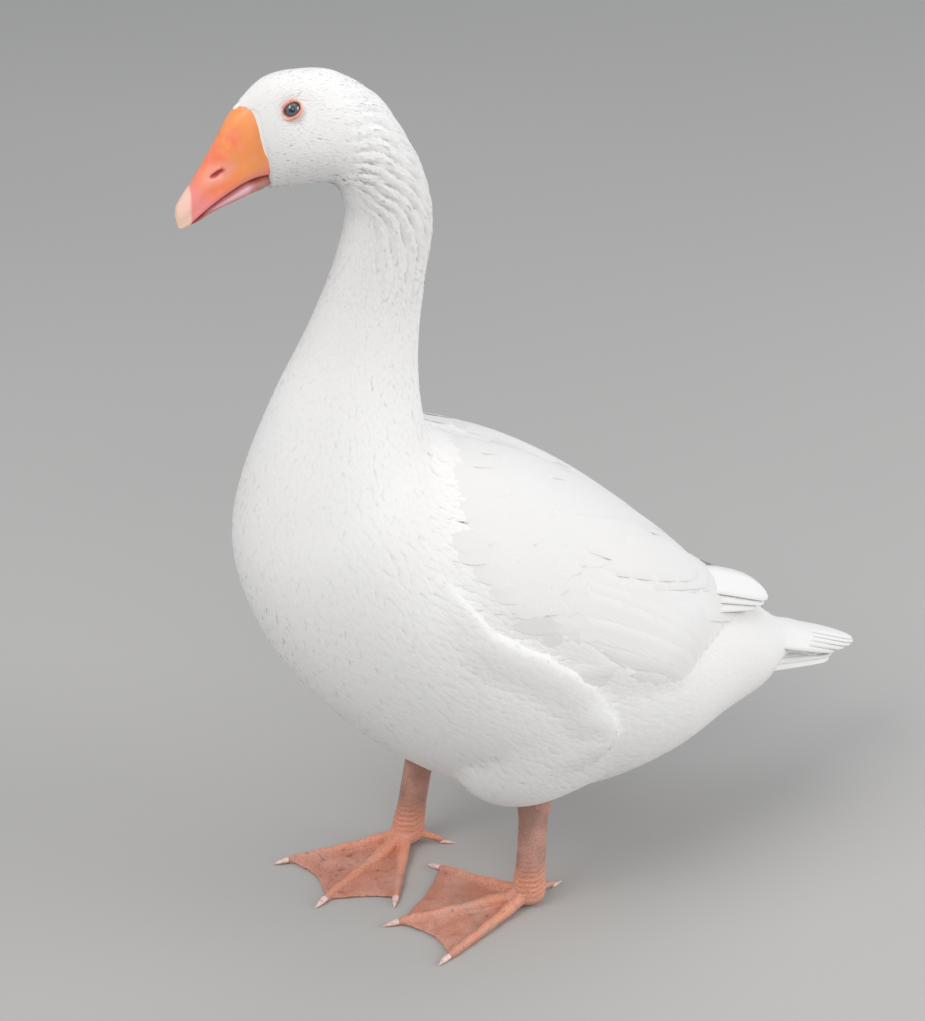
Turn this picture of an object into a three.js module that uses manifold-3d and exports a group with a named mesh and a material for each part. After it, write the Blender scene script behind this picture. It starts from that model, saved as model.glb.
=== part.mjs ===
// A white domestic goose standing still, as a museum model, in millimetres.
// The goose faces -Y, its left side is +X and the floor is z = 0.
// Side-view points are [reach, height]: reach runs forward to the bill from above the left ankle.
import * as THREE from 'three';
import { mergeVertices } from 'three/addons/utils/BufferGeometryUtils.js';
import Module from 'manifold-3d';

const wasm = await Module();
wasm.setup();

// Driving dimensions
const gap = 0.3; // clearance between touching pieces
const neckAxisReach = 80; // the head turns about a vertical axis here
const headTurn = 17; // degrees, the head looks to the goose's right

// The body from rump to bill root, as oval rings through a back point and a belly point.
const fleshRings = [
  { back: [-262, 156], belly: [-257, 108], half: 30 }, // tail root
  { back: [-228, 180], belly: [-226, 105], half: 50 }, // rump
  { back: [-182, 220], belly: [-168, 100], half: 82 },
  { back: [-130, 268], belly: [-112, 84], half: 109 },
  { back: [-76, 314], belly: [-52, 76], half: 122 }, // widest part
  { back: [-26, 348], belly: [12, 86], half: 125 },
  { back: [14, 368], belly: [78, 128], half: 122 },
  { back: [40, 379], belly: [130, 178], half: 112 },
  { back: [54, 389], belly: [170, 236], half: 99 }, // shoulders
  { back: [60, 399], belly: [191, 298], half: 84 }, // breast
  { back: [61, 414], belly: [187, 353], half: 66 },
  { back: [61, 440], belly: [164, 417], half: 48 }, // neck base
  { back: [58, 475], belly: [136, 470], half: 36 },
  { back: [52, 510], belly: [116, 515], half: 30 },
  { back: [47, 545], belly: [107, 548], half: 28, turn: 0.2 }, // slimmest part of the neck
  { back: [53, 575], belly: [110, 565], half: 27.5, turn: 0.5 },
  { back: [64, 601], belly: [115, 573], half: 28, turn: 0.8 }, // nape
  { back: [84, 631], belly: [122, 575.5], half: 28, turn: 1 },
  { back: [112, 650], belly: [133, 575], half: 28.5, turn: 1 }, // crown and cheeks
  { back: [138, 653], belly: [146, 574], half: 26.5, turn: 1 },
  { back: [158, 649.5], belly: [153, 573], half: 22, turn: 1 }, // forehead
  { back: [174, 638], belly: [158, 573], half: 15, turn: 1 }, // bill root
];
const fleshSides = 20;
const fleshSteps = 48;

// The bill, in two halves that meet along the gape line. Its root lies on the face's front plane.
const billRoot = (height) => 158.4 + (height - 573) * 0.246;
const upperBillRings = [
  { back: [billRoot(636), 636], belly: [billRoot(588), 588], half: 14.5, turn: 1 }, // feather line
  { back: [184, 625], belly: [170, 583.4], half: 15.5, turn: 1 },
  { back: [191, 611.5], belly: [181, 578.2], half: 14.5, turn: 1 },
  { back: [200, 596], belly: [193, 571], half: 13, turn: 1 },
  { back: [210.5, 579], belly: [205, 561.8], half: 11.5, turn: 1 },
  { back: [217.5, 569.5], belly: [212.5, 554.8], half: 9.5, turn: 1 }, // nail
  { back: [221, 560], belly: [218.5, 550], half: 6, turn: 1 },
];
const lowerBillRings = [
  { back: [billRoot(587), 587], belly: [billRoot(576.5), 576.5], half: 12.5, turn: 1 },
  { back: [170, 582], belly: [167, 574.5], half: 12.5, turn: 1 },
  { back: [181, 576.6], belly: [179, 569.5], half: 12, turn: 1 },
  { back: [192.5, 569.4], belly: [191, 563.8], half: 11, turn: 1 },
  { back: [204.5, 560.2], belly: [203.5, 556.2], half: 9.5, turn: 1 },
  { back: [210.5, 554.6], belly: [209.5, 551.6], half: 6.5, turn: 1 },
];
const upperBillMesh = { sides: 16, steps: 11, crest: 0.28 }; // crest: how much the ridge narrows
const lowerBillMesh = { sides: 12, steps: 8 };
const nostril = { reach: 193, height: 590, side: 13.5, long: 6.5, thick: 2.2, tilt: -42, sides: 10 };

const eye = { reach: 144.5, height: 633.5, side: 18.4, radius: 6.2 };
const ballSides = 12;

// Thin cuts part the body: a point in side view and the angle of the plane's rise ahead.
const headCut = { reach: 84, height: 568, tilt: -10 };
const neckCut = { reach: 88, height: 482, tilt: -4 };
const breastCut = { reach: 122, height: 405, tilt: -14 };
const rumpCut = { reach: -205, height: 150, tilt: -75 };

// The folded wing: its outline in side view, and how far it stands out from the body.
const wingOutline = [
  [58, 420],
  [98, 345],
  [92, 298],
  [62, 262],
  [20, 236],
  [-30, 212],
  [-74, 192],
  [-104, 184],
  [-130, 189],
  [-148, 203],
  [-170, 216],
  [-178, 232],
  [-150, 278],
  [-118, 330],
];
const wingOutlinePoints = 40;
const wingMiddle = [-40, 280];
const wingReachOut = 200; // how far sideways the wing's outline is cut
const wingStep = { edge: 3, middle: 9, bulge: 0.35 }; // bulge: how far the fullest line is above the side
const wingSpan = { rise: [0.04, 0.2], fall: [0.36, 0.46] }; // shares of the body's length
const spineStrip = 7; // half the width of back left bare between the wings
const flightFeathers = [
  { root: [-112, 226, 97], tip: [-190, 203, 49], width: 40 },
  { root: [-112, 237, 89], tip: [-208, 196, 37], width: 38 },
  { root: [-112, 247, 80], tip: [-224, 189, 26], width: 34 },
  { root: [-112, 256, 70], tip: [-238, 185, 15], width: 28 },
];
const flightFeatherThick = 3.6;
const flightFeatherFace = [0.42, 0.45, 0.79]; // outward, backward, upward

// A feather's outline: how wide it is, as a share of its width, at shares of its length.
const vaneOutline = { root: 0.35, bow: 0.62, shoulder: 0.36, cheek: 0.2 };
const vaneStations = { bow: 0.5, shoulder: 0.86, cheek: 0.97 };

// The tail: a wedge of coverts with a fan of long feathers in it.
const tailRings = [
  { back: [-262.4, 155.6], belly: [-257.4, 107.6], half: 29.6 },
  { back: [-283, 146], belly: [-281, 101], half: 32 },
  { back: [-304, 134], belly: [-303, 101], half: 30 },
  { back: [-320, 124], belly: [-320, 108], half: 25 },
];
const tailMesh = { sides: 14, steps: 6 };
const tailFan = {
  count: 7,
  root: [-240, 150],
  tip: [-329, 122],
  spread: 14,
  width: 26,
  thick: 2.4,
  rootStep: 12, // how far the outermost root is from the middle
  droop: 5.2, // how much lower the outermost root is
  shorter: 0.1, // how much shorter the outermost feather is, as a share
  roll: 0.25,
};

// The legs: the thigh is a lobe of feathers, the shank comes out of it. Toe angles are from straight ahead.
const legs = {
  left: {
    side: 1,
    ankle: [-5, 58],
    turn: 12,
    lean: 2,
    leanBack: 4,
    spread: { middle: 0, outer: -34, inner: 50, hind: 150 },
  },
  right: {
    side: -1,
    ankle: [36, 60],
    turn: 25,
    lean: 1,
    leanBack: 20,
    spread: { middle: 0, outer: -36, inner: 31, hind: 122 },
  },
};
const thigh = { reach: 4, height: 148, across: 64, halves: [37, 57, 52], sides: 18 };
const shank = {
  top: 118,
  wide: 22,
  deep: 26,
  ankleHeight: 15,
  sides: 12,
  girth: [1.06, 0.93, 0.93, 1.04, 1.24], // from the ankle up
};
const toes = {
  middle: { long: 105, thick: 13, lift: 11 },
  outer: { long: 98, thick: 12, lift: 10 },
  inner: { long: 83, thick: 12, lift: 10 },
};
// A toe from ankle to claw: its radius and the height of its middle, as shares of its greatest radius.
const toeForm = {
  girth: [1.15, 1.05, 0.88, 0.94, 0.76, 0.76, 0.52],
  height: [0, 0, 0.75, 0.78, 0.66, 0.64, 0.44],
  fromLift: [1, 0.6, 0, 0, 0, 0, 0],
};
const hindToe = {
  long: 29,
  thick: 8,
  back: -2,
  inward: -3,
  girth: [5, 4.2, 3.4, 2.4],
  height: [11, 8, 5, 3],
};
const knuckle = { forward: 1, height: 9, halves: [12.5, 13.5, 10.5] };
const claw = { long: 9, radius: 0.21, girth: [1, 0.9, 0.6, 0.2], height: [0.8, 0.9, 0.55, 0.15] };
const rodSides = 8;
const web = {
  thick: 3,
  heel: -4,
  edge: 0.97, // how far along a toe the web's edge meets it
  scoop: 0.84, // how far a web's edge reaches towards the claws at its hollow
  curveSegments: 5,
};

const up = new THREE.Vector3(0, 0, 1);
const mix = THREE.MathUtils.lerp;
const rad = THREE.MathUtils.degToRad;
const finish = (color, roughness) => new THREE.MeshStandardMaterial({ color, roughness, metalness: 0 });

// The corners of every triangle that has an area, turned so that all of them face outward.
function outwardCorners(corners, spots) {
  const kept = [];
  let volume = 0;
  for (let i = 0; i < corners.length; i += 3) {
    const [p, q, r] = corners.slice(i, i + 3);
    if (p === q || q === r || r === p) continue;
    kept.push(p, q, r);
    const [first, second, third] = [p, q, r].map((corner) => {
      const spot = new THREE.Vector3();
      return spot.fromBufferAttribute(spots, corner);
    });
    volume += first.dot(second.cross(third));
  }
  return volume < 0 ? kept.reverse() : kept;
}

// A closed mesh becomes a solid that can be joined and cut.
function solidOf(geometry) {
  const bare = geometry.index ? geometry.toNonIndexed() : geometry.clone();
  const extras = Object.keys(bare.attributes).filter((name) => name !== 'position');
  extras.forEach((name) => bare.deleteAttribute(name));
  const welded = mergeVertices(bare, 1e-3);
  const spots = welded.attributes.position;
  const corners = outwardCorners(Array.from(welded.index.array), spots);
  const mesh = new wasm.Mesh({
    numProp: 3,
    vertProperties: Float32Array.from(spots.array),
    triVerts: Uint32Array.from(corners),
  });
  return new wasm.Manifold(mesh);
}

function geometryOf(solid) {
  const mesh = solid.getMesh();
  const geometry = new THREE.BufferGeometry();
  geometry.setAttribute('position', new THREE.BufferAttribute(Float32Array.from(mesh.vertProperties), 3));
  geometry.setIndex(new THREE.BufferAttribute(Uint32Array.from(mesh.triVerts), 1));
  geometry.computeVertexNormals();
  return geometry;
}

const join = (...solids) => solids.reduce((whole, next) => whole.add(next));
const larger = (first, second) => (second.volume() > first.volume() ? second : first);
const biggest = (solid) => solid.decompose().reduce(larger);

// Smooth curves through the rings' back points, belly points, widths and turns.
function ringPath(rings) {
  const through = (pick) => new THREE.CatmullRomCurve3(rings.map(pick), false, 'catmullrom', 0.5);
  const backs = through((ring) => new THREE.Vector3(0, ...ring.back));
  const bellies = through((ring) => new THREE.Vector3(0, ...ring.belly));
  const sizes = through((ring) => new THREE.Vector3(ring.half, ring.turn ?? 0, 0));
  return (share) => {
    const size = sizes.getPoint(share);
    return { back: backs.getPoint(share), belly: bellies.getPoint(share), half: size.x, turn: size.y };
  };
}

// A place given by its reach, height and distance to the left, turned with the head by a share of its turn.
function turned(reach, height, across, share) {
  const turn = rad(headTurn) * share;
  const ahead = reach - neckAxisReach;
  return new THREE.Vector3(
    across * Math.cos(turn) - ahead * Math.sin(turn),
    -neckAxisReach - ahead * Math.cos(turn) - across * Math.sin(turn),
    height,
  );
}

// The place on a ring at an angle: 0 is the goose's left, 90 degrees its back. A part of 0 is the middle.
function ringPoint(ring, angle, part, grow, crest) {
  const middle = ring.back.clone().add(ring.belly).multiplyScalar(0.5);
  const rise = ring.back.clone().sub(ring.belly).multiplyScalar(0.5);
  const tall = rise.length();
  const lift = Math.sin(angle) * (tall + grow) * part;
  const spot = middle.addScaledVector(rise.normalize(), lift);
  const narrowing = 1 - crest * Math.sin(angle);
  const across = Math.cos(angle) * (ring.half + grow) * part * narrowing;
  return turned(spot.y, spot.z, across, ring.turn);
}

// A closed skin over rings: a cylinder whose every vertex is moved to its ring.
function loft(rings, { sides, steps, grow = () => 0, crest = 0 }) {
  const ringAt = ringPath(rings);
  const geometry = new THREE.CylinderGeometry(1, 1, 1, sides, steps);
  const spots = geometry.attributes.position;
  for (let i = 0; i < spots.count; i += 1) {
    const share = spots.getY(i) + 0.5;
    const part = Math.round(Math.hypot(spots.getX(i), spots.getZ(i)));
    const angle = Math.atan2(spots.getZ(i), spots.getX(i));
    const spot = ringPoint(ringAt(share), angle, part, grow(share, angle), crest);
    spots.setXYZ(i, spot.x, spot.y, spot.z);
  }
  return solidOf(geometry);
}

// A large box whose bottom face lies on a plane: what is above the plane.
function above(point, normal) {
  const size = 1600;
  const box = new THREE.BoxGeometry(size, size, size).translate(0, 0, size / 2);
  const turn = new THREE.Quaternion().setFromUnitVectors(up, normal.clone().normalize());
  box.applyQuaternion(turn).translate(point.x, point.y, point.z);
  return solidOf(box);
}

// The two pieces of a solid on either side of a cut, with the gap between them.
function split(solid, cut) {
  const normal = new THREE.Vector3(0, Math.sin(rad(cut.tilt)), Math.cos(rad(cut.tilt)));
  const point = new THREE.Vector3(0, -cut.reach, cut.height);
  const upper = above(point.clone().addScaledVector(normal, gap / 2), normal);
  const lower = above(point.clone().addScaledVector(normal, -gap / 2), normal.clone().negate());
  return [solid.intersect(upper), solid.intersect(lower)];
}

function ball(centre, halves, sides) {
  const sphere = new THREE.SphereGeometry(1, sides, Math.round(sides / 2));
  return sphere.scale(...halves).translate(centre.x, centre.y, centre.z);
}

// A feather plate from root to tip, its flat side facing along the normal.
function feather(root, tip, width, thick, normal) {
  const along = tip.clone().sub(root);
  const long = along.length();
  along.normalize();
  const across = new THREE.Vector3().crossVectors(normal, along).normalize();
  const out = new THREE.Vector3().crossVectors(along, across);
  const bow = vaneStations.bow * long;
  const shoulder = vaneStations.shoulder * long;
  const cheek = vaneStations.cheek * long;
  const wide = (part) => vaneOutline[part] * width;
  const vane = new THREE.Shape();
  vane.moveTo(0, -wide('root'));
  vane.quadraticCurveTo(bow, -wide('bow'), shoulder, -wide('shoulder'));
  vane.quadraticCurveTo(cheek, -wide('cheek'), long, 0);
  vane.quadraticCurveTo(cheek, wide('cheek'), shoulder, wide('shoulder'));
  vane.quadraticCurveTo(bow, wide('bow'), 0, wide('root'));
  const plate = new THREE.ExtrudeGeometry(vane, { depth: thick, bevelEnabled: false, curveSegments: 2 });
  plate.applyMatrix4(new THREE.Matrix4().makeBasis(along, across, out).setPosition(root));
  return solidOf(plate);
}

// The outline of a wing as a prism that runs out sideways from the spine strip.
function wingPrism(side, margin) {
  const corners = [...wingOutline, wingOutline[0]].map((spot) => new THREE.Vector2(...spot));
  const outline = new THREE.SplineCurve(corners).getPoints(wingOutlinePoints).slice(0, -1);
  const middle = new THREE.Vector2(...wingMiddle);
  const widened = outline.map((spot) => {
    const away = spot.clone().sub(middle);
    return away.setLength(away.length() + margin).add(middle);
  });
  const shape = new THREE.Shape(widened);
  const prism = new THREE.ExtrudeGeometry(shape, { depth: wingReachOut, bevelEnabled: false });
  const [forward, sideways] = [new THREE.Vector3(0, -1, 0), new THREE.Vector3(side, 0, 0)];
  const facing = new THREE.Matrix4().makeBasis(forward, up, sideways);
  prism.applyMatrix4(facing.setPosition(side * (spineStrip - margin), 0, 0));
  return solidOf(prism);
}

// How far a wing's top stands above the plain body.
function wingGrowth(share, angle) {
  const { smoothstep } = THREE.MathUtils;
  const along = smoothstep(share, ...wingSpan.rise) * (1 - smoothstep(share, ...wingSpan.fall));
  const sideAngle = Math.asin(Math.sin(angle));
  const round = Math.max(0, Math.cos(sideAngle - wingStep.bulge));
  return mix(wingStep.edge, wingStep.middle, along * round);
}

// The foot's own plane: forward and across turn with the foot, about the ankle.
function footSpot(leg, forward, across, height) {
  const turn = rad(leg.turn) * leg.side;
  const [ankleReach, ankleAcross] = leg.ankle;
  const sideways = across * leg.side;
  return new THREE.Vector3(
    ankleAcross * leg.side - forward * Math.sin(turn) + sideways * Math.cos(turn),
    -ankleReach - forward * Math.cos(turn) - sideways * Math.sin(turn),
    height,
  );
}

function toeSpot(leg, name, long) {
  const angle = rad(leg.spread[name]);
  return footSpot(leg, Math.cos(angle) * long, -Math.sin(angle) * long, 0);
}

// A toe or claw: a tapered rod that lies on the floor and is cut flat there.
function rod(start, end, radii, heights) {
  const rings = radii.length - 1;
  const geometry = new THREE.CylinderGeometry(1, 1, 1, rodSides, rings);
  const along = end.clone().sub(start).setZ(0).normalize();
  const across = new THREE.Vector3(-along.y, along.x, 0);
  const spots = geometry.attributes.position;
  for (let i = 0; i < spots.count; i += 1) {
    const share = spots.getY(i) + 0.5;
    const ring = Math.round(share * rings);
    const spot = new THREE.Vector3().lerpVectors(start, end, share);
    spot.addScaledVector(across, spots.getX(i) * radii[ring]);
    spots.setXYZ(i, spot.x, spot.y, heights[ring] + spots.getZ(i) * radii[ring]);
  }
  return solidOf(geometry);
}

// The web between the toes, as a flat sheet whose edge is hollow between the claws.
function makeWeb(leg) {
  const ankle = footSpot(leg, 0, 0, 0);
  const heel = footSpot(leg, web.heel, 0, 0);
  const edge = Object.entries(toes).map(([name, toe]) => [name, toeSpot(leg, name, toe.long * web.edge)]);
  const { outer, middle, inner } = Object.fromEntries(edge);
  const hollow = (first, second) => {
    const between = first.clone().lerp(second, 0.5);
    return ankle.clone().lerp(between, web.scoop);
  };
  const [outerHollow, innerHollow] = [hollow(outer, middle), hollow(middle, inner)];
  const shape = new THREE.Shape();
  shape.moveTo(heel.x, heel.y);
  shape.lineTo(outer.x, outer.y);
  shape.quadraticCurveTo(outerHollow.x, outerHollow.y, middle.x, middle.y);
  shape.quadraticCurveTo(innerHollow.x, innerHollow.y, inner.x, inner.y);
  shape.closePath();
  const settings = { depth: web.thick, bevelEnabled: false, curveSegments: web.curveSegments };
  return solidOf(new THREE.ExtrudeGeometry(shape, settings));
}

function makeToe(leg, name, toe) {
  const radius = toe.thick / 2;
  const radii = toeForm.girth.map((share) => share * radius);
  const heights = toeForm.height.map((share, i) => share * radius + toeForm.fromLift[i] * toe.lift);
  return rod(footSpot(leg, 0, 0, 0), toeSpot(leg, name, toe.long), radii, heights);
}

function makeFoot(leg) {
  const front = Object.entries(toes).map(([name, toe]) => makeToe(leg, name, toe));
  const hindRoot = footSpot(leg, hindToe.back, hindToe.inward, 0);
  const hind = rod(hindRoot, toeSpot(leg, 'hind', hindToe.long), hindToe.girth, hindToe.height);
  const joint = solidOf(ball(footSpot(leg, knuckle.forward, 0, knuckle.height), knuckle.halves, ballSides));
  return join(makeWeb(leg), ...front, hind, joint).intersect(floor);
}

function makeClaw(leg, name, toe) {
  const radius = toe.thick * claw.radius;
  const start = toeSpot(leg, name, toe.long + gap);
  const end = toeSpot(leg, name, toe.long + claw.long);
  const radii = claw.girth.map((share) => share * radius);
  const heights = claw.height.map((share) => share * radius);
  return rod(start, end, radii, heights).intersect(floor);
}

function makeShank(leg, extra) {
  const foot = footSpot(leg, 0, 0, 0);
  const rings = shank.girth.length - 1;
  const geometry = new THREE.CylinderGeometry(1, 1, 1, shank.sides, rings);
  const spots = geometry.attributes.position;
  for (let i = 0; i < spots.count; i += 1) {
    const share = spots.getY(i) + 0.5;
    const ring = Math.round(share * rings);
    const girth = shank.girth[ring] / 2;
    const x = foot.x + spots.getX(i) * (shank.wide * girth + extra) + leg.lean * share * leg.side;
    const y = foot.y + spots.getZ(i) * (shank.deep * girth + extra) + leg.leanBack * share;
    const height = mix(shank.ankleHeight, shank.top, share);
    spots.setXYZ(i, x, y, ring === rings ? height + extra : height);
  }
  return solidOf(geometry);
}

// One long feather of the tail's fan, from -1 at the goose's right to 1 at its left.
function tailFeather(share) {
  const turn = rad(tailFan.spread) * share;
  const back = tailFan.root[0] - tailFan.tip[0];
  const fall = tailFan.root[1] - tailFan.tip[1];
  const drop = Math.atan2(fall, back);
  const long = Math.hypot(back, fall) * (1 - tailFan.shorter * share * share);
  const root = new THREE.Vector3(
    share * tailFan.rootStep,
    -tailFan.root[0],
    tailFan.root[1] - Math.abs(share) * tailFan.droop,
  );
  const level = Math.cos(drop);
  const way = new THREE.Vector3(Math.sin(turn) * level, Math.cos(turn) * level, -Math.sin(drop));
  const tip = root.clone().addScaledVector(way, long);
  const normal = new THREE.Vector3(share * tailFan.roll, Math.sin(drop), Math.cos(drop));
  return feather(root, tip, tailFan.width, tailFan.thick, normal);
}

const floor = above(new THREE.Vector3(0, 0, 0), up);
const whole = new THREE.Group();

function addPiece(name, solid, material) {
  const mesh = new THREE.Mesh(geometryOf(solid), material);
  mesh.name = name;
  whole.add(mesh);
}

const plumage = finish('#f1efe8', 0.85);
const billSkin = finish('#f0793f', 0.45);
const paleBill = finish('#eeb9a4', 0.5);
const legSkin = finish('#c9714c', 0.6);
const clawHorn = finish('#e6cdbf', 0.5);
const eyeGloss = finish('#2c3038', 0.08);

// The whole body, then the cuts that part it.
const fleshMesh = { sides: fleshSides, steps: fleshSteps };
const flesh = loft(fleshRings, fleshMesh);
const clearFlesh = loft(fleshRings, { ...fleshMesh, grow: () => gap });
const wingSkin = loft(fleshRings, { ...fleshMesh, grow: wingGrowth });
const sides = { left: 1, right: -1 };
const [headFlesh, belowHead] = split(flesh, headCut);
const [neckTop, belowNeck] = split(belowHead, neckCut);
const [neckFoot, trunkAndRump] = split(belowNeck, breastCut);
const [trunkFlesh, rump] = split(trunkAndRump, rumpCut);

// Eyes in their sockets.
let head = headFlesh;
for (const [name, side] of Object.entries(sides)) {
  const centre = turned(eye.reach, eye.height, eye.side * side, 1);
  const round = (radius) => solidOf(ball(centre, [radius, radius, radius], ballSides));
  head = head.subtract(round(eye.radius + gap));
  addPiece(`eye_${name}`, round(eye.radius), eyeGloss);
}
addPiece('head', head, plumage);
addPiece('neck_upper', neckTop, plumage);
addPiece('neck_lower', neckFoot, plumage);

// The bill, with the nostrils sunk into its sides.
let upperBill = loft(upperBillRings, upperBillMesh);
for (const side of Object.values(sides)) {
  const pit = ball(new THREE.Vector3(0, 0, 0), [nostril.thick, nostril.long, nostril.thick], nostril.sides);
  pit.rotateX(rad(nostril.tilt)).rotateZ(-rad(headTurn));
  const centre = turned(nostril.reach, nostril.height, nostril.side * side, 1);
  upperBill = upperBill.subtract(solidOf(pit.translate(centre.x, centre.y, centre.z)));
}
addPiece('bill_upper', upperBill, billSkin);
addPiece('bill_lower', loft(lowerBillRings, lowerBillMesh), paleBill);

// Wings and their flight feathers lie on the trunk.
for (const [name, side] of Object.entries(sides)) {
  const wing = wingSkin.intersect(wingPrism(side, 0)).subtract(clearFlesh);
  addPiece(`wing_${name}`, wing, plumage);
  const [outward, backward, upward] = flightFeatherFace;
  const normal = new THREE.Vector3(outward * side, backward, upward);
  const blades = flightFeathers.map(({ root, tip, width }) => {
    const place = ([reach, height, across]) => new THREE.Vector3(across * side, -reach, height);
    return feather(place(root), place(tip), width, flightFeatherThick, normal);
  });
  const shown = join(...blades).subtract(wingPrism(side, gap)).subtract(clearFlesh);
  addPiece(`flight_feathers_${name}`, biggest(shown), plumage);
}

// The tail.
const fan = Array.from({ length: tailFan.count }, (_, i) => tailFeather((2 * i) / (tailFan.count - 1) - 1));
const tail = join(loft(tailRings, tailMesh), ...fan).subtract(clearFlesh);
addPiece('tail', tail, plumage);

// Legs, feet and claws.
let trunk = trunkFlesh;
for (const [name, leg] of Object.entries(legs)) {
  const socket = makeShank(leg, gap);
  const centre = new THREE.Vector3(thigh.across * leg.side, -thigh.reach, thigh.height);
  const lobe = solidOf(ball(centre, thigh.halves, thigh.sides)).subtract(clearFlesh);
  addPiece(`thigh_${name}`, lobe.subtract(socket), plumage);
  trunk = trunk.subtract(socket);
  const foot = makeFoot(leg);
  addPiece(`shank_${name}`, makeShank(leg, 0).subtract(foot), legSkin);
  addPiece(`foot_${name}`, foot, legSkin);
  for (const [toeName, toe] of Object.entries({ ...toes, hind: hindToe })) {
    addPiece(`claw_${toeName}_${name}`, makeClaw(leg, toeName, toe), clawHorn);
  }
}
addPiece('trunk', trunk, plumage);
addPiece('rump', rump, plumage);

// The origin is under the middle of the whole model's box, on the floor.
const extent = new THREE.Box3().setFromObject(whole);
const middle = extent.getCenter(new THREE.Vector3());
whole.position.set(-middle.x, -middle.y, 0);

export default whole;
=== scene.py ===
import math

import bmesh
import bpy
import numpy as np
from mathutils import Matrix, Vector, kdtree


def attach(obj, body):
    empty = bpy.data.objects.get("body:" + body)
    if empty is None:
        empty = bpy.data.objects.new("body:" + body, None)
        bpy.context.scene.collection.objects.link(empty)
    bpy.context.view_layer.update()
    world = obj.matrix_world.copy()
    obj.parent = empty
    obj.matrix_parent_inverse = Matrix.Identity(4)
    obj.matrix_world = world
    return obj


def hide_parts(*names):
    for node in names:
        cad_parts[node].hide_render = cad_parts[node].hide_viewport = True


# A white domestic goose, life size, standing still. Metres, the goose faces -Y, its left side is +X.
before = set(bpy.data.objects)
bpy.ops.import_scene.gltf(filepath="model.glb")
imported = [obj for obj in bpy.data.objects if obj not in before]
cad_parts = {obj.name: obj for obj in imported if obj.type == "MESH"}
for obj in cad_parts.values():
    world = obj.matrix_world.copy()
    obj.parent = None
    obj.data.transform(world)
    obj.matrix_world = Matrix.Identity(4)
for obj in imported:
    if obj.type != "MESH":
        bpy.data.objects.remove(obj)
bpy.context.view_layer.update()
print("frame loaded:", len(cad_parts), "nodes")

# Side-view places are (reach, height): reach runs forward to the bill from the ankle line.
place = {
    "ankleLine": -0.0573,      # y of reach 0
    "neckAxis": 0.080,         # reach of the upright axis that the head turns about
    "headTurn": math.radians(17),
}

# Oval rings from the tail's end to the bill root: back (reach, height), belly (reach, height),
# half width, and the share of the head's turn.
bodyRings = np.array([
    (-0.320, 0.124, -0.320, 0.108, 0.025, 0),
    (-0.304, 0.134, -0.303, 0.101, 0.030, 0),
    (-0.283, 0.146, -0.281, 0.101, 0.032, 0),
    (-0.262, 0.156, -0.257, 0.108, 0.030, 0),
    (-0.228, 0.180, -0.226, 0.105, 0.050, 0),
    (-0.182, 0.220, -0.168, 0.100, 0.082, 0),
    (-0.130, 0.268, -0.112, 0.084, 0.109, 0),
    (-0.076, 0.314, -0.052, 0.076, 0.122, 0),
    (-0.026, 0.348, 0.012, 0.086, 0.125, 0),
    (0.014, 0.368, 0.078, 0.128, 0.122, 0),
    (0.040, 0.379, 0.130, 0.178, 0.112, 0),
    (0.054, 0.389, 0.170, 0.236, 0.099, 0),
    (0.060, 0.399, 0.191, 0.298, 0.084, 0),
    (0.061, 0.414, 0.187, 0.353, 0.066, 0),
    (0.061, 0.440, 0.164, 0.417, 0.048, 0),
    (0.058, 0.475, 0.136, 0.470, 0.036, 0),
    (0.052, 0.510, 0.116, 0.515, 0.030, 0),
    (0.047, 0.545, 0.107, 0.548, 0.028, 0.2),
    (0.053, 0.575, 0.110, 0.565, 0.0275, 0.5),
    (0.064, 0.601, 0.115, 0.573, 0.028, 0.8),
    (0.084, 0.631, 0.122, 0.5755, 0.028, 1),
    (0.112, 0.650, 0.133, 0.575, 0.0285, 1),
    (0.138, 0.653, 0.146, 0.574, 0.0265, 1),
    (0.158, 0.6495, 0.153, 0.573, 0.022, 1),
    (0.174, 0.638, 0.158, 0.573, 0.015, 1),
])
lastRing = len(bodyRings) - 1
neckFrom = 13       # the station where the trunk ends and the neck begins
bothSides = (("left", 1), ("right", -1))


def smooth(low, high, value):
    share = np.clip((np.asarray(value, float) - low) / (high - low), 0, 1)
    return share * share * (3 - 2 * share)


def bell(value, centre, width):
    return np.exp(-((np.asarray(value, float) - centre) / width) ** 2)


def unit(vectors):
    return vectors / np.maximum(np.linalg.norm(vectors, axis=-1, keepdims=True), 1e-12)


def catmull(rows, stations):
    # a smooth curve through the rows, straight on past both ends
    rows = np.vstack([2 * rows[0] - rows[1], rows, 2 * rows[-1] - rows[-2]])
    clamped = np.clip(stations, 0, len(rows) - 3 - 1e-6)
    index = np.floor(clamped).astype(int)
    s = (clamped - index)[:, None]
    a, b, c, d = rows[index], rows[index + 1], rows[index + 2], rows[index + 3]
    first, second, third = c - a, 2 * a - 5 * b + 4 * c - d, 3 * b - a - 3 * c + d
    curve = 0.5 * (2 * b + first * s + second * s ** 2 + third * s ** 3)
    slope = 0.5 * (first + 2 * second * s + 3 * third * s ** 2)
    return curve + slope * (stations - clamped)[:, None]


denseStations = np.linspace(-3, lastRing + 1, 2400)
denseRings = catmull(bodyRings, denseStations)


def ringsAt(stations):
    return np.stack([np.interp(stations, denseStations, denseRings[:, k]) for k in range(6)], -1)


def turned(across, reach, height, turn):
    ahead = reach - place["neckAxis"]
    angle = place["headTurn"] * turn
    x = across * np.cos(angle) - ahead * np.sin(angle)
    y = place["ankleLine"] - place["neckAxis"] - ahead * np.cos(angle) - across * np.sin(angle)
    return np.stack([x, y, height], -1)


def onHead(reach, height, across):
    return turned(np.asarray(across, float), np.asarray(reach, float), np.asarray(height, float), 1.0)


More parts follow.
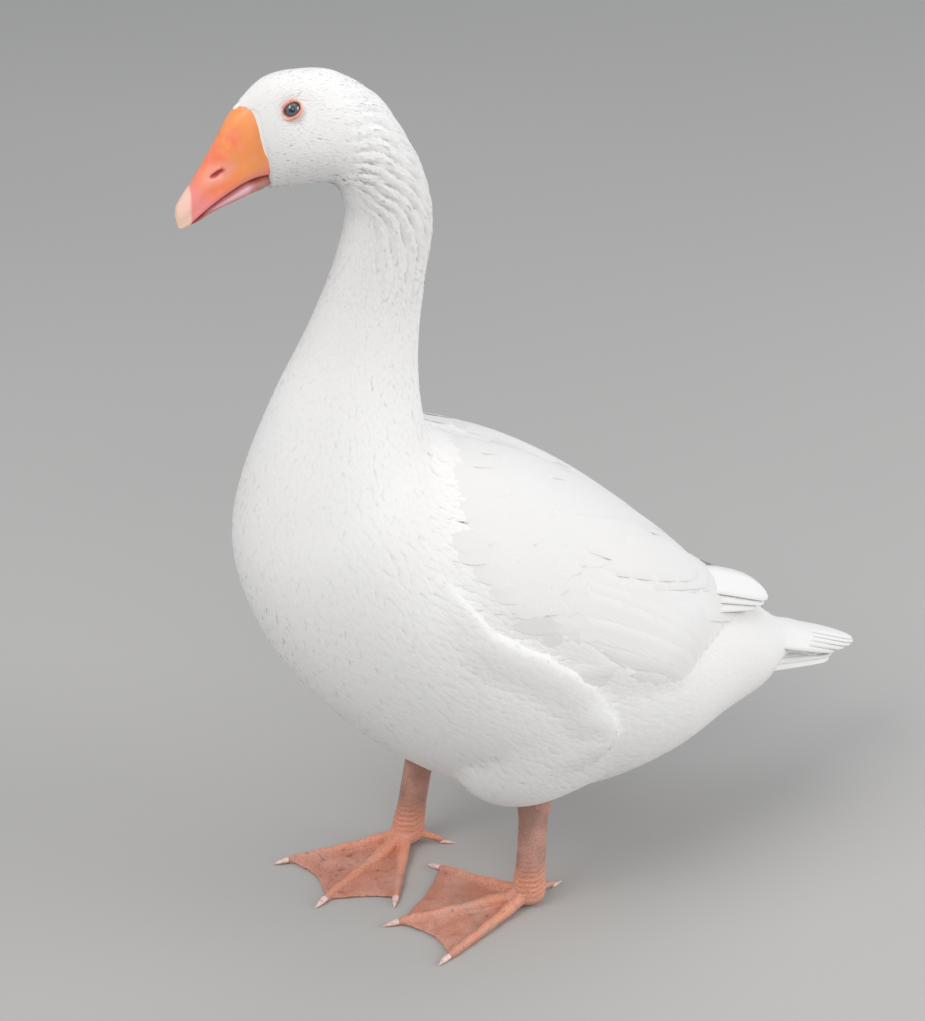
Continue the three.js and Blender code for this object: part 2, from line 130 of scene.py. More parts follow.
# The coat over the skin, by station: how deep it is, and how long and wide its feathers are.
coat = {
    "stations": [0, 2, 4, 7, 10, 12, 13, 14, 16, 18, 20, 22, 23.3, 24],
    "depth": [2.5, 3, 4, 4.5, 4.5, 4.5, 4, 3.6, 3.2, 2.8, 2.2, 1.6, 1.2, 0.7],      # mm
    "length": [30, 28, 27, 27, 26, 24, 20, 17, 12, 10, 8, 6.5, 5, 3.4],             # mm
    "width": [9, 8, 7.5, 7, 6.5, 6, 5.2, 4.4, 3.4, 2.9, 2.2, 1.8, 1.5, 1.1],        # mm
}
wingShape = {
    # outline in side view, and how far the closed wing lifts the skin
    "outline": np.array([(0.060, 0.425), (0.098, 0.355), (0.098, 0.328), (0.076, 0.300), (0.063, 0.281),
                         (0.045, 0.267), (0.023, 0.253), (-0.003, 0.232), (-0.018, 0.215), (-0.040, 0.201),
                         (-0.070, 0.192), (-0.098, 0.188), (-0.110, 0.199), (-0.128, 0.206), (-0.152, 0.209),
                         (-0.176, 0.206), (-0.186, 0.216), (-0.178, 0.236), (-0.150, 0.278), (-0.118, 0.330),
                         (-0.04, 0.40)]),
    # the smooth panel of long feathers, which carries no coverts
    "panel": np.array([(0.008, 0.226), (0.026, 0.258), (0.032, 0.280), (0.013, 0.297), (-0.020, 0.3005),
                       (-0.053, 0.296), (-0.085, 0.290), (-0.200, 0.250), (-0.200, 0.170), (0.0, 0.170)]),
    "lift": 0.0052,
    "edge": (-0.002, 0.024),        # the lift grows over this depth inside the outline
    "spine": (0.004, 0.020),        # and over this distance from the spine
    "front": (0.040, 0.095),        # most of it is lost toward the shoulder
    "slope": math.radians(27),      # the wing's feathers point this far below level
}
thighShape = {
    "reach": 0.004,
    "height": 0.148,
    "across": 0.064,
    "halves": (0.033, 0.053, 0.048),
    "blend": 0.010,
    "feathers": (0.11, 0.06, 0.05),      # height, half reach and half height of the feathered part
    "slope": (0.72, -0.70),
}
flankShape = {
    # the flank's feathers overlap the wing's lower front edge and end in a fold behind the thigh
    "outline": np.array([(0.105, 0.335), (0.088, 0.314), (0.076, 0.2995), (0.063, 0.2806), (0.045, 0.267),
                         (0.023, 0.2527), (-0.003, 0.232), (-0.018, 0.216), (-0.037, 0.1845),
                         (-0.0407, 0.169), (-0.0374, 0.162), (-0.0306, 0.147), (-0.022, 0.139),
                         (-0.01, 0.10), (0.20, 0.10),
                         (0.20, 0.335)]),
    "lift": 0.0054,
    "rise": (-0.003, 0.004),        # the ridge grows and falls over these depths inside the outline
    "fall": (0.006, 0.036),
    "fadeReach": (0.060, 0.100),
    "fadeHeight": (0.135, 0.165),
    "fadeAcross": (0.03, 0.07),
    "corner": (-0.026, 0.206),      # it is lower round this place
    "cornerWide": 0.017,
}
# how far the flesh thins toward the tail's end, between two stations
tailShape = {"above": 0.008, "below": 0.017, "beside": 0.008, "stations": (4.4, 2.9)}
eyeShape = {"reach": 0.1434, "height": 0.6324, "across": 0.0184, "radius": 0.0062,
            "socket": 0.0085, "socketDepth": 0.0012, "brow": (0.001, 0.0115), "browHigh": 0.0009}
faceShape = {
    # the station where the feathers meet the bill, by the turn from the crown round to the throat
    "turns": [0, 0.32, 0.51, 0.70, 0.81, 0.92, 1.08, 1.46, 1.88, 2.12, 2.35, 2.74, 3.15],
    "ends": [24.46, 24.34, 24.12, 23.88, 23.73, 23.62, 23.59, 23.65, 23.57, 23.54, 23.74, 23.98, 24.05],
    "drop": 0.0024,
    "cheek": 0.0014,
}
furrowShape = {"height": 0.0023, "perTurn": 10.0, "slant": 1.5, "upperSlant": 0.75, "upperFrom": 15.5,
               "from": 14.8, "to": 20.2}


def coatValue(stations, what):
    return np.interp(stations, coat["stations"], coat[what]) / 1000


def insideOutline(spots, outline):
    # distance inside a closed outline, negative outside
    nearest = np.full(len(spots), np.inf)
    inside = np.zeros(len(spots), bool)
    for a, b in zip(outline, np.roll(outline, -1, 0)):
        along = b - a
        share = np.clip(((spots - a) @ along) / (along @ along), 0, 1)
        nearest = np.minimum(nearest, np.linalg.norm(spots - a - share[:, None] * along, axis=1))
        crosses = (a[1] > spots[:, 1]) != (b[1] > spots[:, 1])
        x = a[0] + (spots[:, 1] - a[1]) / (along[1] if along[1] else 1e-12) * along[0]
        inside ^= crosses & (spots[:, 0] < x)
    return np.where(inside, nearest, -nearest)


def wingDepth(across, reach, height):
    # how far inside the folded wing a place is, 0 to 1
    depthIn = insideOutline(np.stack([reach, height], -1), wingShape["outline"])
    return smooth(*wingShape["edge"], depthIn) * smooth(*wingShape["spine"], np.abs(across))


def flankRidge(across, reach, height):
    inside = insideOutline(np.stack([reach, height], -1), flankShape["outline"])
    bulge = smooth(*flankShape["rise"], inside) * (1 - smooth(*flankShape["fall"], inside))
    cornerReach, cornerHeight = flankShape["corner"]
    away = (reach - cornerReach) ** 2 + (height - cornerHeight) ** 2
    corner = 1 - 0.6 * np.exp(-away / flankShape["cornerWide"] ** 2)
    fade = (1 - smooth(*flankShape["fadeReach"], reach)) * smooth(*flankShape["fadeHeight"], height) * corner
    return flankShape["lift"] * bulge * fade * smooth(*flankShape["fadeAcross"], np.abs(across))


def thighLift(spots, ways):
    # how far a place moves along its way to reach the thigh's round
    halves = np.array(thighShape["halves"])
    middle = np.array([thighShape["across"], thighShape["reach"], thighShape["height"]])
    start = (spots - middle) / halves
    way = ways / halves
    a = (way ** 2).sum(1)
    b = (start * way).sum(1)
    room = b ** 2 - a * ((start ** 2).sum(1) - 1)
    rise = (-b + np.sqrt(np.maximum(room, 0))) / a - 0.03 * np.sqrt(np.maximum(-room, 0))
    soft = thighShape["blend"]
    return soft * np.log1p(np.exp(np.clip(rise / soft, -30, 8)))


def fromNape(angles):
    # 0 at the nape and crown, pi at the throat
    return np.abs(np.arctan2(np.cos(angles), np.sin(angles)))


def faceEnd(angles):
    # the feather line: forward on the forehead, back on the cheeks
    return np.interp(fromNape(angles), faceShape["turns"], faceShape["ends"])


def furrowSlant(stations):
    # how many turns of the furrow pattern one station makes
    above = np.maximum(stations - furrowShape["upperFrom"], 0)
    return furrowShape["slant"] + furrowShape["upperSlant"] * above


def furrows(stations, angles):
    # slanting ridges down the upper neck, broken into lumps
    back = fromNape(angles)
    fade = smooth(furrowShape["from"], furrowShape["from"] + 1.6, stations + 0.5 * np.cos(back))
    end = furrowShape["to"]
    fade = fade * (1 - smooth(end - 0.9, end + 0.3, stations - 0.9 * np.cos(back)))
    fade = fade * (1 - smooth(2.0, 2.7, back))
    above = np.maximum(stations - furrowShape["upperFrom"], 0)
    slanted = furrowShape["slant"] * stations + furrowShape["upperSlant"] / 2 * above ** 2
    wobble = 0.45 * np.sin(stations * 2.3 + 1.1) + 0.35 * np.sin(stations * 4.1 + back * 3)
    phase = back * furrowShape["perTurn"] - slanted + wobble
    ridge = np.abs(np.sin(phase)) ** 0.7 - 0.6
    lumps = 0.62 + 0.38 * np.sin(stations * 7.5 + np.round(phase / math.pi) * 2.4 + back)
    return furrowShape["height"] * ridge * lumps * fade


def relief(stations, angles, across, reach, height):
    # what stands out from the plain rings: wings, cheek, brow, eye socket, and the furrows of the neck
    sin = np.sin(angles)
    wing = wingShape["lift"] * wingDepth(across, reach, height)
    wing = wing * (1 - 0.85 * smooth(*wingShape["front"], reach))
    flank = flankRidge(across, reach, height) * (stations < neckFrom)
    onFace = smooth(19.5, 20.5, stations)
    eyeAway = np.hypot(reach - eyeShape["reach"], height - eyeShape["height"])
    socket = -eyeShape["socketDepth"] * np.exp(-(eyeAway / eyeShape["socket"]) ** 2)
    ahead, above = eyeShape["brow"]
    brow = eyeShape["browHigh"] * bell(reach, eyeShape["reach"] + ahead, 0.012)
    brow = brow * bell(height, eyeShape["height"] + above, 0.004)
    cheek = faceShape["cheek"] * bell(stations, 21.4, 1.3) * bell(sin, -0.35, 0.4)
    drop = faceShape["drop"] * smooth(23.5, 24.5, stations) * np.maximum(sin, 0) ** 2
    thin = np.where(sin > 0, tailShape["above"], tailShape["below"]) * sin ** 2
    thin = (thin + tailShape["beside"] * (1 - sin ** 2)) * smooth(*tailShape["stations"], stations)
    return wing + flank - thin + (socket + brow + cheek - drop) * onFace + furrows(stations, angles)


def surface(stations, angles, lift=0.0):
    # a place on the skin, or above it by lift
    stations, angles = np.asarray(stations, float), np.asarray(angles, float)
    stations, angles, lift = np.broadcast_arrays(stations, angles, lift)
    shape = stations.shape
    stations, angles, lift = stations.ravel(), angles.ravel(), lift.ravel()
    rings = ringsAt(stations)
    back, belly, half, turn = rings[:, 0:2], rings[:, 2:4], rings[:, 4], np.clip(rings[:, 5], 0, 1)
    middle = (back + belly) / 2
    up = unit(back - belly)
    tall = np.linalg.norm(back - belly, axis=1) / 2
    cos, sin = np.cos(angles), np.sin(angles)
    first = middle + up * (sin * tall)[:, None]
    grow = relief(stations, angles, cos * half, first[:, 0], first[:, 1])
    spots = np.column_stack([np.abs(cos) * half, first])
    grow = grow + thighLift(spots, np.column_stack([np.abs(cos), up * sin[:, None]])) * (stations < 12)
    grow = grow - coatValue(stations, "depth") + lift
    spot = middle + up * (sin * (tall + grow))[:, None]
    return turned(cos * (half + grow), spot[:, 0], spot[:, 1], turn).reshape(*shape, 3)


def slopes(stations, angles):
    # the surface's two slopes and its outward normal
    step = 0.02
    alongBody = (surface(stations + step, angles) - surface(stations - step, angles)) / (2 * step)
    aroundBody = (surface(stations, angles + step) - surface(stations, angles - step)) / (2 * step)
    return alongBody, aroundBody, unit(np.cross(aroundBody, alongBody))


def makeMesh(name, points, faces, material, uvs=None, smoothShade=True):
    mesh = bpy.data.meshes.new(name)
    mesh.from_pydata([tuple(p) for p in points], [], [tuple(f) for f in faces])
    piece = bpy.data.objects.new(name, mesh)
    bpy.context.scene.collection.objects.link(piece)
    mesh.materials.append(material)
    for mapName, spots in (uvs or {}).items():
        layer = mesh.uv_layers.new(name=mapName)
        corners = np.zeros(len(mesh.loops), np.int32)
        mesh.loops.foreach_get("vertex_index", corners)
        layer.data.foreach_set("uv", np.asarray(spots, np.float32)[corners].ravel())
    if smoothShade:
        shadeSmooth(mesh)
    mesh.update()
    return piece


def gridFaces(rows, columns, closed=True, start=0):
    # quads of a grid whose columns run round
    faces = []
    for r in range(rows - 1):
        for c in range(columns if closed else columns - 1):
            nextColumn = (c + 1) % columns
            a, b = start + r * columns + c, start + r * columns + nextColumn
            faces.append((a, b, b + columns, a + columns))
    return faces


def cappedFaces(rows, columns):
    # a closed grid with a flat cap at each end
    first, last = range(columns), range((rows - 1) * columns, rows * columns)
    return gridFaces(rows, columns) + [tuple(reversed(first)), tuple(last)]


def shadeSmooth(mesh):
    mesh.polygons.foreach_set("use_smooth", np.ones(len(mesh.polygons), bool))


def bakeModifiers(piece):
    # the mesh with its modifiers applied replaces the piece's own
    bpy.context.view_layer.update()
    shaped = bpy.data.meshes.new_from_object(piece.evaluated_get(bpy.context.evaluated_depsgraph_get()))
    piece.modifiers.clear()
    piece.data = shaped
    return shaped


def finishPiece(piece, slot, *nodes):
    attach(piece, "root")
    if nodes:
        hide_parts(*nodes)
    return piece


# Light, floor and camera
studio = {
    "camera": (1.6860, -1.0117, 1.2712),
    "cameraTurn": (math.radians(63.5), 0, math.radians(61)),
    "lens": 3000 / 1021 * 36,
    "floorColour": (0.47, 0.46, 0.445, 1),
    "worldColour": (0.80, 0.84, 0.90, 1),
    "worldStrength": 0.58,
    "floorReach": 12,
    # each area light: place, the spot it faces, size, watts and colour
    "lights": {
        "keyLight": ((0.5, -2.2, 2.6), (0, -0.05, 0.3), 1.8, 42, (1.0, 0.97, 0.93)),
        "topLight": ((-0.4, 0.6, 2.8), (0, 0, 0.3), 2.2, 13, (0.98, 0.98, 1.0)),
        "rearLight": ((1.7, 2.4, 1.25), (0, 0.15, 0.22), 1.6, 44, (1.0, 0.98, 0.96)),
        "fillLight": ((2.4, -1.0, 1.9), (0, -0.1, 0.50), 1.4, 15, (1.0, 0.97, 0.95)),
    },
}


def areaLight(name, spot, target, size, power, colour):
    light = bpy.data.lights.new(name, "AREA")
    light.energy = power
    light.size = size
    light.color = colour
    lamp = bpy.data.objects.new(name, light)
    lamp.location = spot
    lamp.rotation_euler = (Vector(target) - Vector(spot)).to_track_quat("-Z", "Y").to_euler()
    bpy.context.scene.collection.objects.link(lamp)


def nodeMaterial(name):
    material = bpy.data.materials.new(name)
    material.use_nodes = True
    tree = material.node_tree
    return material, tree, tree.nodes["Principled BSDF"]


def addNode(tree, kind, inputs=None, **settings):
    node = tree.nodes.new(kind)
    for key, value in settings.items():
        setattr(node, key, value)
    for key, value in (inputs or {}).items():
        if isinstance(value, bpy.types.NodeSocket):
            tree.links.new(value, node.inputs[key])
        else:
            node.inputs[key].default_value = value
    return node


def mixColour(tree, factor, first, second):
    return addNode(tree, "ShaderNodeMix", {0: factor, 6: first, 7: second}, data_type="RGBA").outputs[2]


def layerColours(tree, look, colour, layers):
    # each layer says how much of which colour of the look is laid over the ones before it
    for amount, tint in layers:
        colour = mixColour(tree, amount, colour, look[tint])
    return colour


def mathNode(tree, operation, *values):
    return addNode(tree, "ShaderNodeMath", dict(enumerate(values)), operation=operation).outputs[0]


def times(tree, *values):
    product = values[0]
    for value in values[1:]:
        product = mathNode(tree, "MULTIPLY", product, value)
    return product


def roundAway(tree, first, second):
    # the length of two measures at right angles
    squares = mathNode(tree, "ADD", times(tree, first, first), times(tree, second, second))
    return mathNode(tree, "SQRT", squares)


def vectorNode(tree, operation, first, second):
    return addNode(tree, "ShaderNodeVectorMath", {0: first, 1: second}, operation=operation).outputs


def ramp(tree, value, low, high):
    # a smooth step from 0 to 1 between two values
    node = addNode(tree, "ShaderNodeMapRange", {0: value, 1: low, 2: high}, interpolation_type="SMOOTHSTEP")
    return node.outputs[0]


def objectSpot(tree):
    return addNode(tree, "ShaderNodeTexCoord").outputs["Object"]


def noise(tree, scale, detail=3.0):
    inputs = {"Scale": scale, "Detail": detail, "Vector": objectSpot(tree)}
    return addNode(tree, "ShaderNodeTexNoise", inputs).outputs[0]


def finishShader(tree, shader, colour, values, bumps=None):
    # bumps are the height, strength and distance of the fine relief
    tree.links.new(colour, shader.inputs["Base Color"])
    for key, value in values.items():
        shader.inputs[key].default_value = value
    if bumps:
        bump = addNode(tree, "ShaderNodeBump", dict(zip(("Height", "Strength", "Distance"), bumps)))
        tree.links.new(bump.outputs[0], shader.inputs["Normal"])


def buildStudio():
    scene = bpy.context.scene
    lens = bpy.data.cameras.new("camera")
    lens.lens = studio["lens"]
    lens.sensor_width = 36
    lens.clip_start = 0.05
    lens.sensor_fit = "AUTO"
    camera = bpy.data.objects.new("camera", lens)
    camera.location = studio["camera"]
    camera.rotation_euler = studio["cameraTurn"]
    scene.collection.objects.link(camera)
    scene.camera = camera
    scene.view_settings.view_transform = "Standard"
    world = bpy.data.worlds.new("studio")
    scene.world = world
    world.use_nodes = True
    backdrop = world.node_tree.nodes["Background"]
    backdrop.inputs[0].default_value = studio["worldColour"]
    backdrop.inputs[1].default_value = studio["worldStrength"]
    for name, settings in studio["lights"].items():
        areaLight(name, *settings)
    material, tree, shader = nodeMaterial("floorPaper")
    darker = tuple(0.96 * c for c in studio["floorColour"][:3]) + (1,)
    tone = mixColour(tree, ramp(tree, noise(tree, 0.8), 0.3, 0.7), studio["floorColour"], darker)
    finishShader(tree, shader, tone, {"Roughness": 0.9})
    reach = studio["floorReach"]
    rim = [(-reach, -reach, 0), (reach, -reach, 0), (reach, reach, 0), (-reach, reach, 0)]
    floor = makeMesh("floor", rim, [(0, 1, 2, 3)], material, smoothShade=False)


buildStudio()
print("studio ready")


# Plumage finish, the same markings and painted shade on skin and coat
plumageLook = {
    "white": (0.90, 0.895, 0.885, 1),
    "cream": (0.84, 0.80, 0.735, 1),
    "grey": (0.70, 0.69, 0.675, 1),
    "stain": (0.50, 0.36, 0.20, 1),
    "stainSpot": (0.108, 0.0, 0.335),
    "barbs": 6.0,
    # painted shade: how strongly each feather greys toward its root under the feather above; the wing's is
    # stronger to darken the whole wing under the lamps
    "shade": 0.22,          # how much greyer a feather is than its tip
    "wingShade": 0.62,
    "roughness": 0.78,
}


def plumageMaterial(name, barbs=0.0, shade=0.0):
    look = plumageLook
    material, tree, shader = nodeMaterial(name)
    spot = objectSpot(tree)
    height = addNode(tree, "ShaderNodeSeparateXYZ", {0: spot}).outputs[2]
    away = vectorNode(tree, "DISTANCE", spot, look["stainSpot"])["Value"]
    # the neck is greyer: partly its own greyish cream, partly painted shade on the neck
    neck = times(tree, ramp(tree, height, 0.42, 0.52), ramp(tree, height, 0.62, 0.585), 0.45)
    # painted shade: the belly greys toward the bottom, where shade falls under the body
    belly = times(tree, ramp(tree, height, 0.20, 0.08), 0.4)
    stain = times(tree, ramp(tree, away, 0.022, 0.004), ramp(tree, noise(tree, 160, 4), 0.5, 0.62), 0.55)
    layers = [(times(tree, ramp(tree, noise(tree, 9, 4), 0.42, 0.75), 0.35), "cream"),
              (neck, "grey"),
              (belly, "grey"),
              (stain, "stain")]
    colour = layerColours(tree, look, look["white"], layers)
    if barbs:
        # painted shade: each feather is greyer toward its root, where the one above overlaps it, and palest
        # at its tip
        vane = addNode(tree, "ShaderNodeUVMap", uv_map="Vane").outputs[0]
        along = addNode(tree, "ShaderNodeSeparateXYZ", {0: vane}).outputs[1]
        colour = mixColour(tree, times(tree, ramp(tree, along, 1.02, 0.88), shade), colour, look["grey"])
        waves = {"Vector": vane, "Scale": barbs, "Distortion": 1.5, "Detail": 2.0}
        wave = addNode(tree, "ShaderNodeTexWave", waves, bands_direction="DIAGONAL")
        bumps = (wave.outputs[1], 0.12, 0.0004)
    else:
        bumps = (noise(tree, 700, 3), 0.3, 0.0006)
    values = {"Roughness": look["roughness"], "Specular IOR Level": 0.2, "Sheen Weight": 0.15}
    finishShader(tree, shader, colour, values, bumps)
    return material


skinPlumage = plumageMaterial("skinPlumage")
vanePlumage = plumageMaterial("vanePlumage", plumageLook["barbs"], plumageLook["shade"])
# the wing's copy of the plumage, with stronger painted shade to darken it under the same lamps
wingShadedPlumage = plumageMaterial("wingShadedPlumage", plumageLook["barbs"], plumageLook["wingShade"])


# Legs and feet, joined into the one skin
legShape = {
    "left": {"side": 1, "ankle": (-0.005, 0.058), "turn": math.radians(12),
             "lean": 0.002, "leanBack": 0.004,
             "spread": {"middle": 0.0, "outer": math.radians(-34), "inner": math.radians(50),
                        "hind": math.radians(150)}},
    "right": {"side": -1, "ankle": (0.036, 0.060), "turn": math.radians(25),
              "lean": 0.001, "leanBack": 0.020,
              "spread": {"middle": 0.0, "outer": math.radians(-36), "inner": math.radians(31),
                         "hind": math.radians(122)}},
    "toes": {
        "middle": {"long": 0.105, "thick": 0.013, "joints": (0.30, 0.60, 0.84)},
        "outer": {"long": 0.098, "thick": 0.012, "joints": (0.26, 0.50, 0.72, 0.88)},
        "inner": {"long": 0.083, "thick": 0.012, "joints": (0.38, 0.76)},
        "hind": {"long": 0.029, "thick": 0.008, "joints": (0.5,)},
    },
    "shankTop": 0.118,
    "shankWide": 0.0215,
    "shankDeep": 0.0255,
    "webThick": 0.0022,
    "webScoop": {"outer": 0.085, "inner": 0.04},
    "claw": 0.0092,
    "clawHidden": 0.0030,       # how far a claw reaches back into its toe
    "crease": 0.0042,           # spacing of the creases and of the small plates
    "plate": 0.0034,
    "voxel": 0.0011,
}


def footSpot(leg, forward, across, height):
    turn, sideways = leg["turn"] * leg["side"], across * leg["side"]
    x = leg["ankle"][1] * leg["side"] - forward * math.sin(turn) + sideways * math.cos(turn)
    y = place["ankleLine"] - leg["ankle"][0] - forward * math.cos(turn) - sideways * math.sin(turn)
    return np.array([x, y, height])


def tube(spots, wides, talls, sides=18):
    # a closed tube along a path: half widths across, half heights up
    spots = np.array(spots)
    ways = unit(np.gradient(spots, axis=0))
    upright = np.array([0, 0, 1.0])
    across = np.cross(ways, upright)
    across = np.where(np.linalg.norm(across, axis=1, keepdims=True) < 0.25, np.array([1.0, 0, 0]), across)
    across = unit(across)
    over = np.cross(across, ways)
    turn = np.arange(sides) / sides * 2 * math.pi
    wide = np.cos(turn)[None, :, None] * np.array(wides)[:, None, None]
    tall = np.sin(turn)[None, :, None] * np.array(talls)[:, None, None]
    ring = spots[:, None] + across[:, None] * wide + over[:, None] * tall
    return ring.reshape(-1, 3), cappedFaces(len(spots), sides)


def toePath(leg, name, shares, heights):
    angle, long = leg["spread"][name], legShape["toes"][name]["long"]
    ahead, aside = math.cos(angle) * long, -math.sin(angle) * long
    return [footSpot(leg, ahead * s, aside * s, h) for s, h in zip(shares, heights)]


def toeTube(leg, name):
    toe = legShape["toes"][name]
    shares = np.linspace(0, 0.995, 44)
    half = toe["thick"] / 2
    swell = 0.86 - 0.36 * shares + 0.09 * sum(bell(shares, joint, 0.045) for joint in toe["joints"])
    swell = swell * np.sqrt(np.clip((1.0 - shares) / 0.06, 0.08, 1))
    if name == "hind":
        heights = 0.0115 - 0.0082 * shares
        wides = half * swell * 1.15
        talls = half * swell * 1.15
    else:
        talls = half * swell * 1.04
        wides = half * swell * 0.92
        heights = 0.72 * talls + 0.0065 * (1 - shares) ** 3
    return tube(toePath(leg, name, shares, heights), wides, talls)


def webSlab(leg, first, second):
    # the skin between two toes: pleated, with a front edge that runs a little hollow from claw to claw
    toes = legShape["toes"]
    across, along = 34, 40
    u, v = np.meshgrid(np.linspace(0, 1, across), np.linspace(0.02, 1, along), indexing="ij")
    start, end = leg["spread"][first], leg["spread"][second]
    angle = start * (1 - u) + end * u
    reachFirst, reachSecond = toes[first]["long"] * 0.965, toes[second]["long"] * 0.965
    chord = reachFirst * reachSecond * math.sin(end - start)
    chord = chord / (reachFirst * np.sin(angle - start) + reachSecond * np.sin(end - angle))
    scoop = legShape["webScoop"]["outer" if first == "outer" else "inner"]
    reach = chord * (1 - scoop * np.sin(u * math.pi) - 0.006 * np.sin(u * math.pi * 5) ** 2)
    forward, sideways = np.cos(angle) * reach * v, -np.sin(angle) * reach * v
    pleats = 0.0004 * np.sin(u * 22 + v * 2) * v
    middle = 0.0015 + 0.0040 * (1 - v) ** 2 + pleats + 0.0002 * np.sin(v * 60 + 5 * u)
    middle = middle + 0.0006 * (2 * u - 1) ** 4
    half = legShape["webThick"] / 2
    layers = []
    for level in (half, -half):
        flat = zip(forward.ravel(), sideways.ravel(), middle.ravel())
        layers.append(np.array([footSpot(leg, f, s, max(h + level, 0.0)) for f, s, h in flat]))
    faces = gridFaces(across, along, closed=False)
    size = across * along
    faces += [tuple(size + i for i in reversed(face)) for face in gridFaces(across, along, closed=False)]
    edge = [c for c in range(along)] + [r * along + along - 1 for r in range(1, across)]
    edge += [(across - 1) * along + c for c in range(along - 2, -1, -1)]
    edge += [r * along for r in range(across - 2, 0, -1)]
    for a, b in zip(edge, edge[1:] + edge[:1]):
        faces.append((b, a, size + a, size + b))
    return np.concatenate(layers), faces


def shankTube(leg):
    shares = np.linspace(0, 1, 30)
    foot = footSpot(leg, 0, 0, 0.0)
    spots = []
    for s in shares:
        x = foot[0] + leg["lean"] * s * leg["side"]
        y = foot[1] + leg["leanBack"] * s
        spots.append((x, y, 0.007 + (legShape["shankTop"] - 0.007) * s))
    hock = smooth(0.56, 0.84, shares)
    wides = legShape["shankWide"] / 2 * (0.90 + 0.20 * bell(shares, 0.06, 0.13) + 0.26 * hock)
    talls = legShape["shankDeep"] / 2 * (0.88 + 0.12 * bell(shares, 0.05, 0.12) + 0.26 * hock)
    return tube(spots, wides, talls, 28)


def wrinkle(spots, leg):
    # creases round the ankle, and small plates up the shank's front
    foot = footSpot(leg, 0, 0, 0.0)
    height = spots[:, 2]
    around = np.arctan2(spots[:, 0] - foot[0], -(spots[:, 1] - foot[1]))
    bend = height * 2 * math.pi / legShape["crease"] + 1.3 * np.sin(around * 2) + 0.8 * np.sin(around * 5)
    creases = 0.0004 * np.sin(bend)
    creases = creases * smooth(0.010, 0.016, height) * smooth(0.052, 0.026, height)
    offset = np.round(height / legShape["plate"]) * math.pi / 2
    plates = 0.00022 * np.sin(height * 2 * math.pi / legShape["plate"]) * np.sin(around * 7 + offset)
    return creases + plates * smooth(0.024, 0.04, height)


def buildLeg(name):
    leg = legShape[name]
    parts = [toeTube(leg, toe) for toe in legShape["toes"]]
    parts += [webSlab(leg, "outer", "middle"), webSlab(leg, "middle", "inner"), shankTube(leg)]
    knuckle = [footSpot(leg, f, 0, 0.0095) for f in np.linspace(-0.0125, 0.0135, 14)]
    dome = np.sqrt(np.clip(1 - np.linspace(-0.98, 0.98, 14) ** 2, 0.02, 1))
    parts.append(tube(knuckle, 0.0118 * dome, 0.0098 * dome, 20))
    points, faces, start = [], [], 0
    for spots, partFaces in parts:
        points.append(spots)
        faces += [tuple(start + i for i in face) for face in partFaces]
        start += len(spots)
    piece = makeMesh("leg_" + name, np.concatenate(points), faces, legSkin)
    remesh = piece.modifiers.new("remesh", "REMESH")
    remesh.mode = "VOXEL"
    remesh.voxel_size = legShape["voxel"]
    soften = piece.modifiers.new("soften", "SMOOTH")
    soften.iterations = 5
    soften.factor = 0.5
    shaped = bakeModifiers(piece)
    spots = np.zeros(len(shaped.vertices) * 3)
    ways = np.zeros(len(shaped.vertices) * 3)
    shaped.vertices.foreach_get("co", spots)
    shaped.vertices.foreach_get("normal", ways)
    spots, ways = spots.reshape(-1, 3), ways.reshape(-1, 3)
    spots = spots + ways * wrinkle(spots, leg)[:, None]
    spots[:, 2] = np.maximum(spots[:, 2], 0)
    shaped.vertices.foreach_set("co", spots.ravel())
    shadeSmooth(shaped)
    shaped.update()
    return piece


softFlesh = {"Subsurface Radius": (0.004, 0.0015, 0.001), "Subsurface Scale": 0.5}
legLook = {
    "toe": (0.80, 0.34, 0.21, 1),
    "web": (0.60, 0.255, 0.175, 1),
    "shank": (0.42, 0.235, 0.185, 1),
    "pink": (0.72, 0.38, 0.30, 1),
    "brown": (0.26, 0.12, 0.085, 1),
    "dust": (0.42, 0.37, 0.33, 1),
    "claw": (0.82, 0.64, 0.57, 1),
    "clawRoot": (0.66, 0.40, 0.33, 1),
}


def legMaterial():
    look = legLook
    material, tree, shader = nodeMaterial("legSkin")
    spot = objectSpot(tree)
    height = addNode(tree, "ShaderNodeSeparateXYZ", {0: spot}).outputs[2]
    cellInputs = {"Vector": spot, "Scale": 430.0}
    cells = addNode(tree, "ShaderNodeTexVoronoi", cellInputs, feature="DISTANCE_TO_EDGE").outputs[0]
    low = ramp(tree, height, 0.012, 0.004)
    high = ramp(tree, height, 0.030, 0.004)
    layers = [(ramp(tree, height, 0.0030, 0.0075), "toe"),
              (ramp(tree, height, 0.014, 0.050), "shank"),
              (times(tree, ramp(tree, noise(tree, 45, 5), 0.40, 0.68), 0.6), "pink"),
              (times(tree, ramp(tree, noise(tree, 190, 5), 0.52, 0.74), 0.35), "brown"),
              (times(tree, ramp(tree, cells, 0.14, 0.02), 0.28), "brown"),
              (times(tree, ramp(tree, noise(tree, 120, 2), 0.66, 0.72), low, 0.75), "brown"),
              (times(tree, ramp(tree, noise(tree, 26, 4), 0.50, 0.75), high, 0.4), "dust")]
    colour = layerColours(tree, look, look["web"], layers)
    plates = mathNode(tree, "ADD", ramp(tree, cells, 0.0, 0.28), times(tree, noise(tree, 700, 4), 0.5))
    values = {"Roughness": 0.55, "Subsurface Weight": 0.15, **softFlesh}
    finishShader(tree, shader, colour, values, (plates, 0.45, 0.0005))
    return material


def clawMaterial():
    material, tree, shader = nodeMaterial("clawHorn")
    grain = noise(tree, 300, 4)
    colour = mixColour(tree, ramp(tree, grain, 0.4, 0.7), legLook["claw"], legLook["clawRoot"])
    finishShader(tree, shader, colour, {"Roughness": 0.4}, (grain, 0.3, 0.0003))
    return material


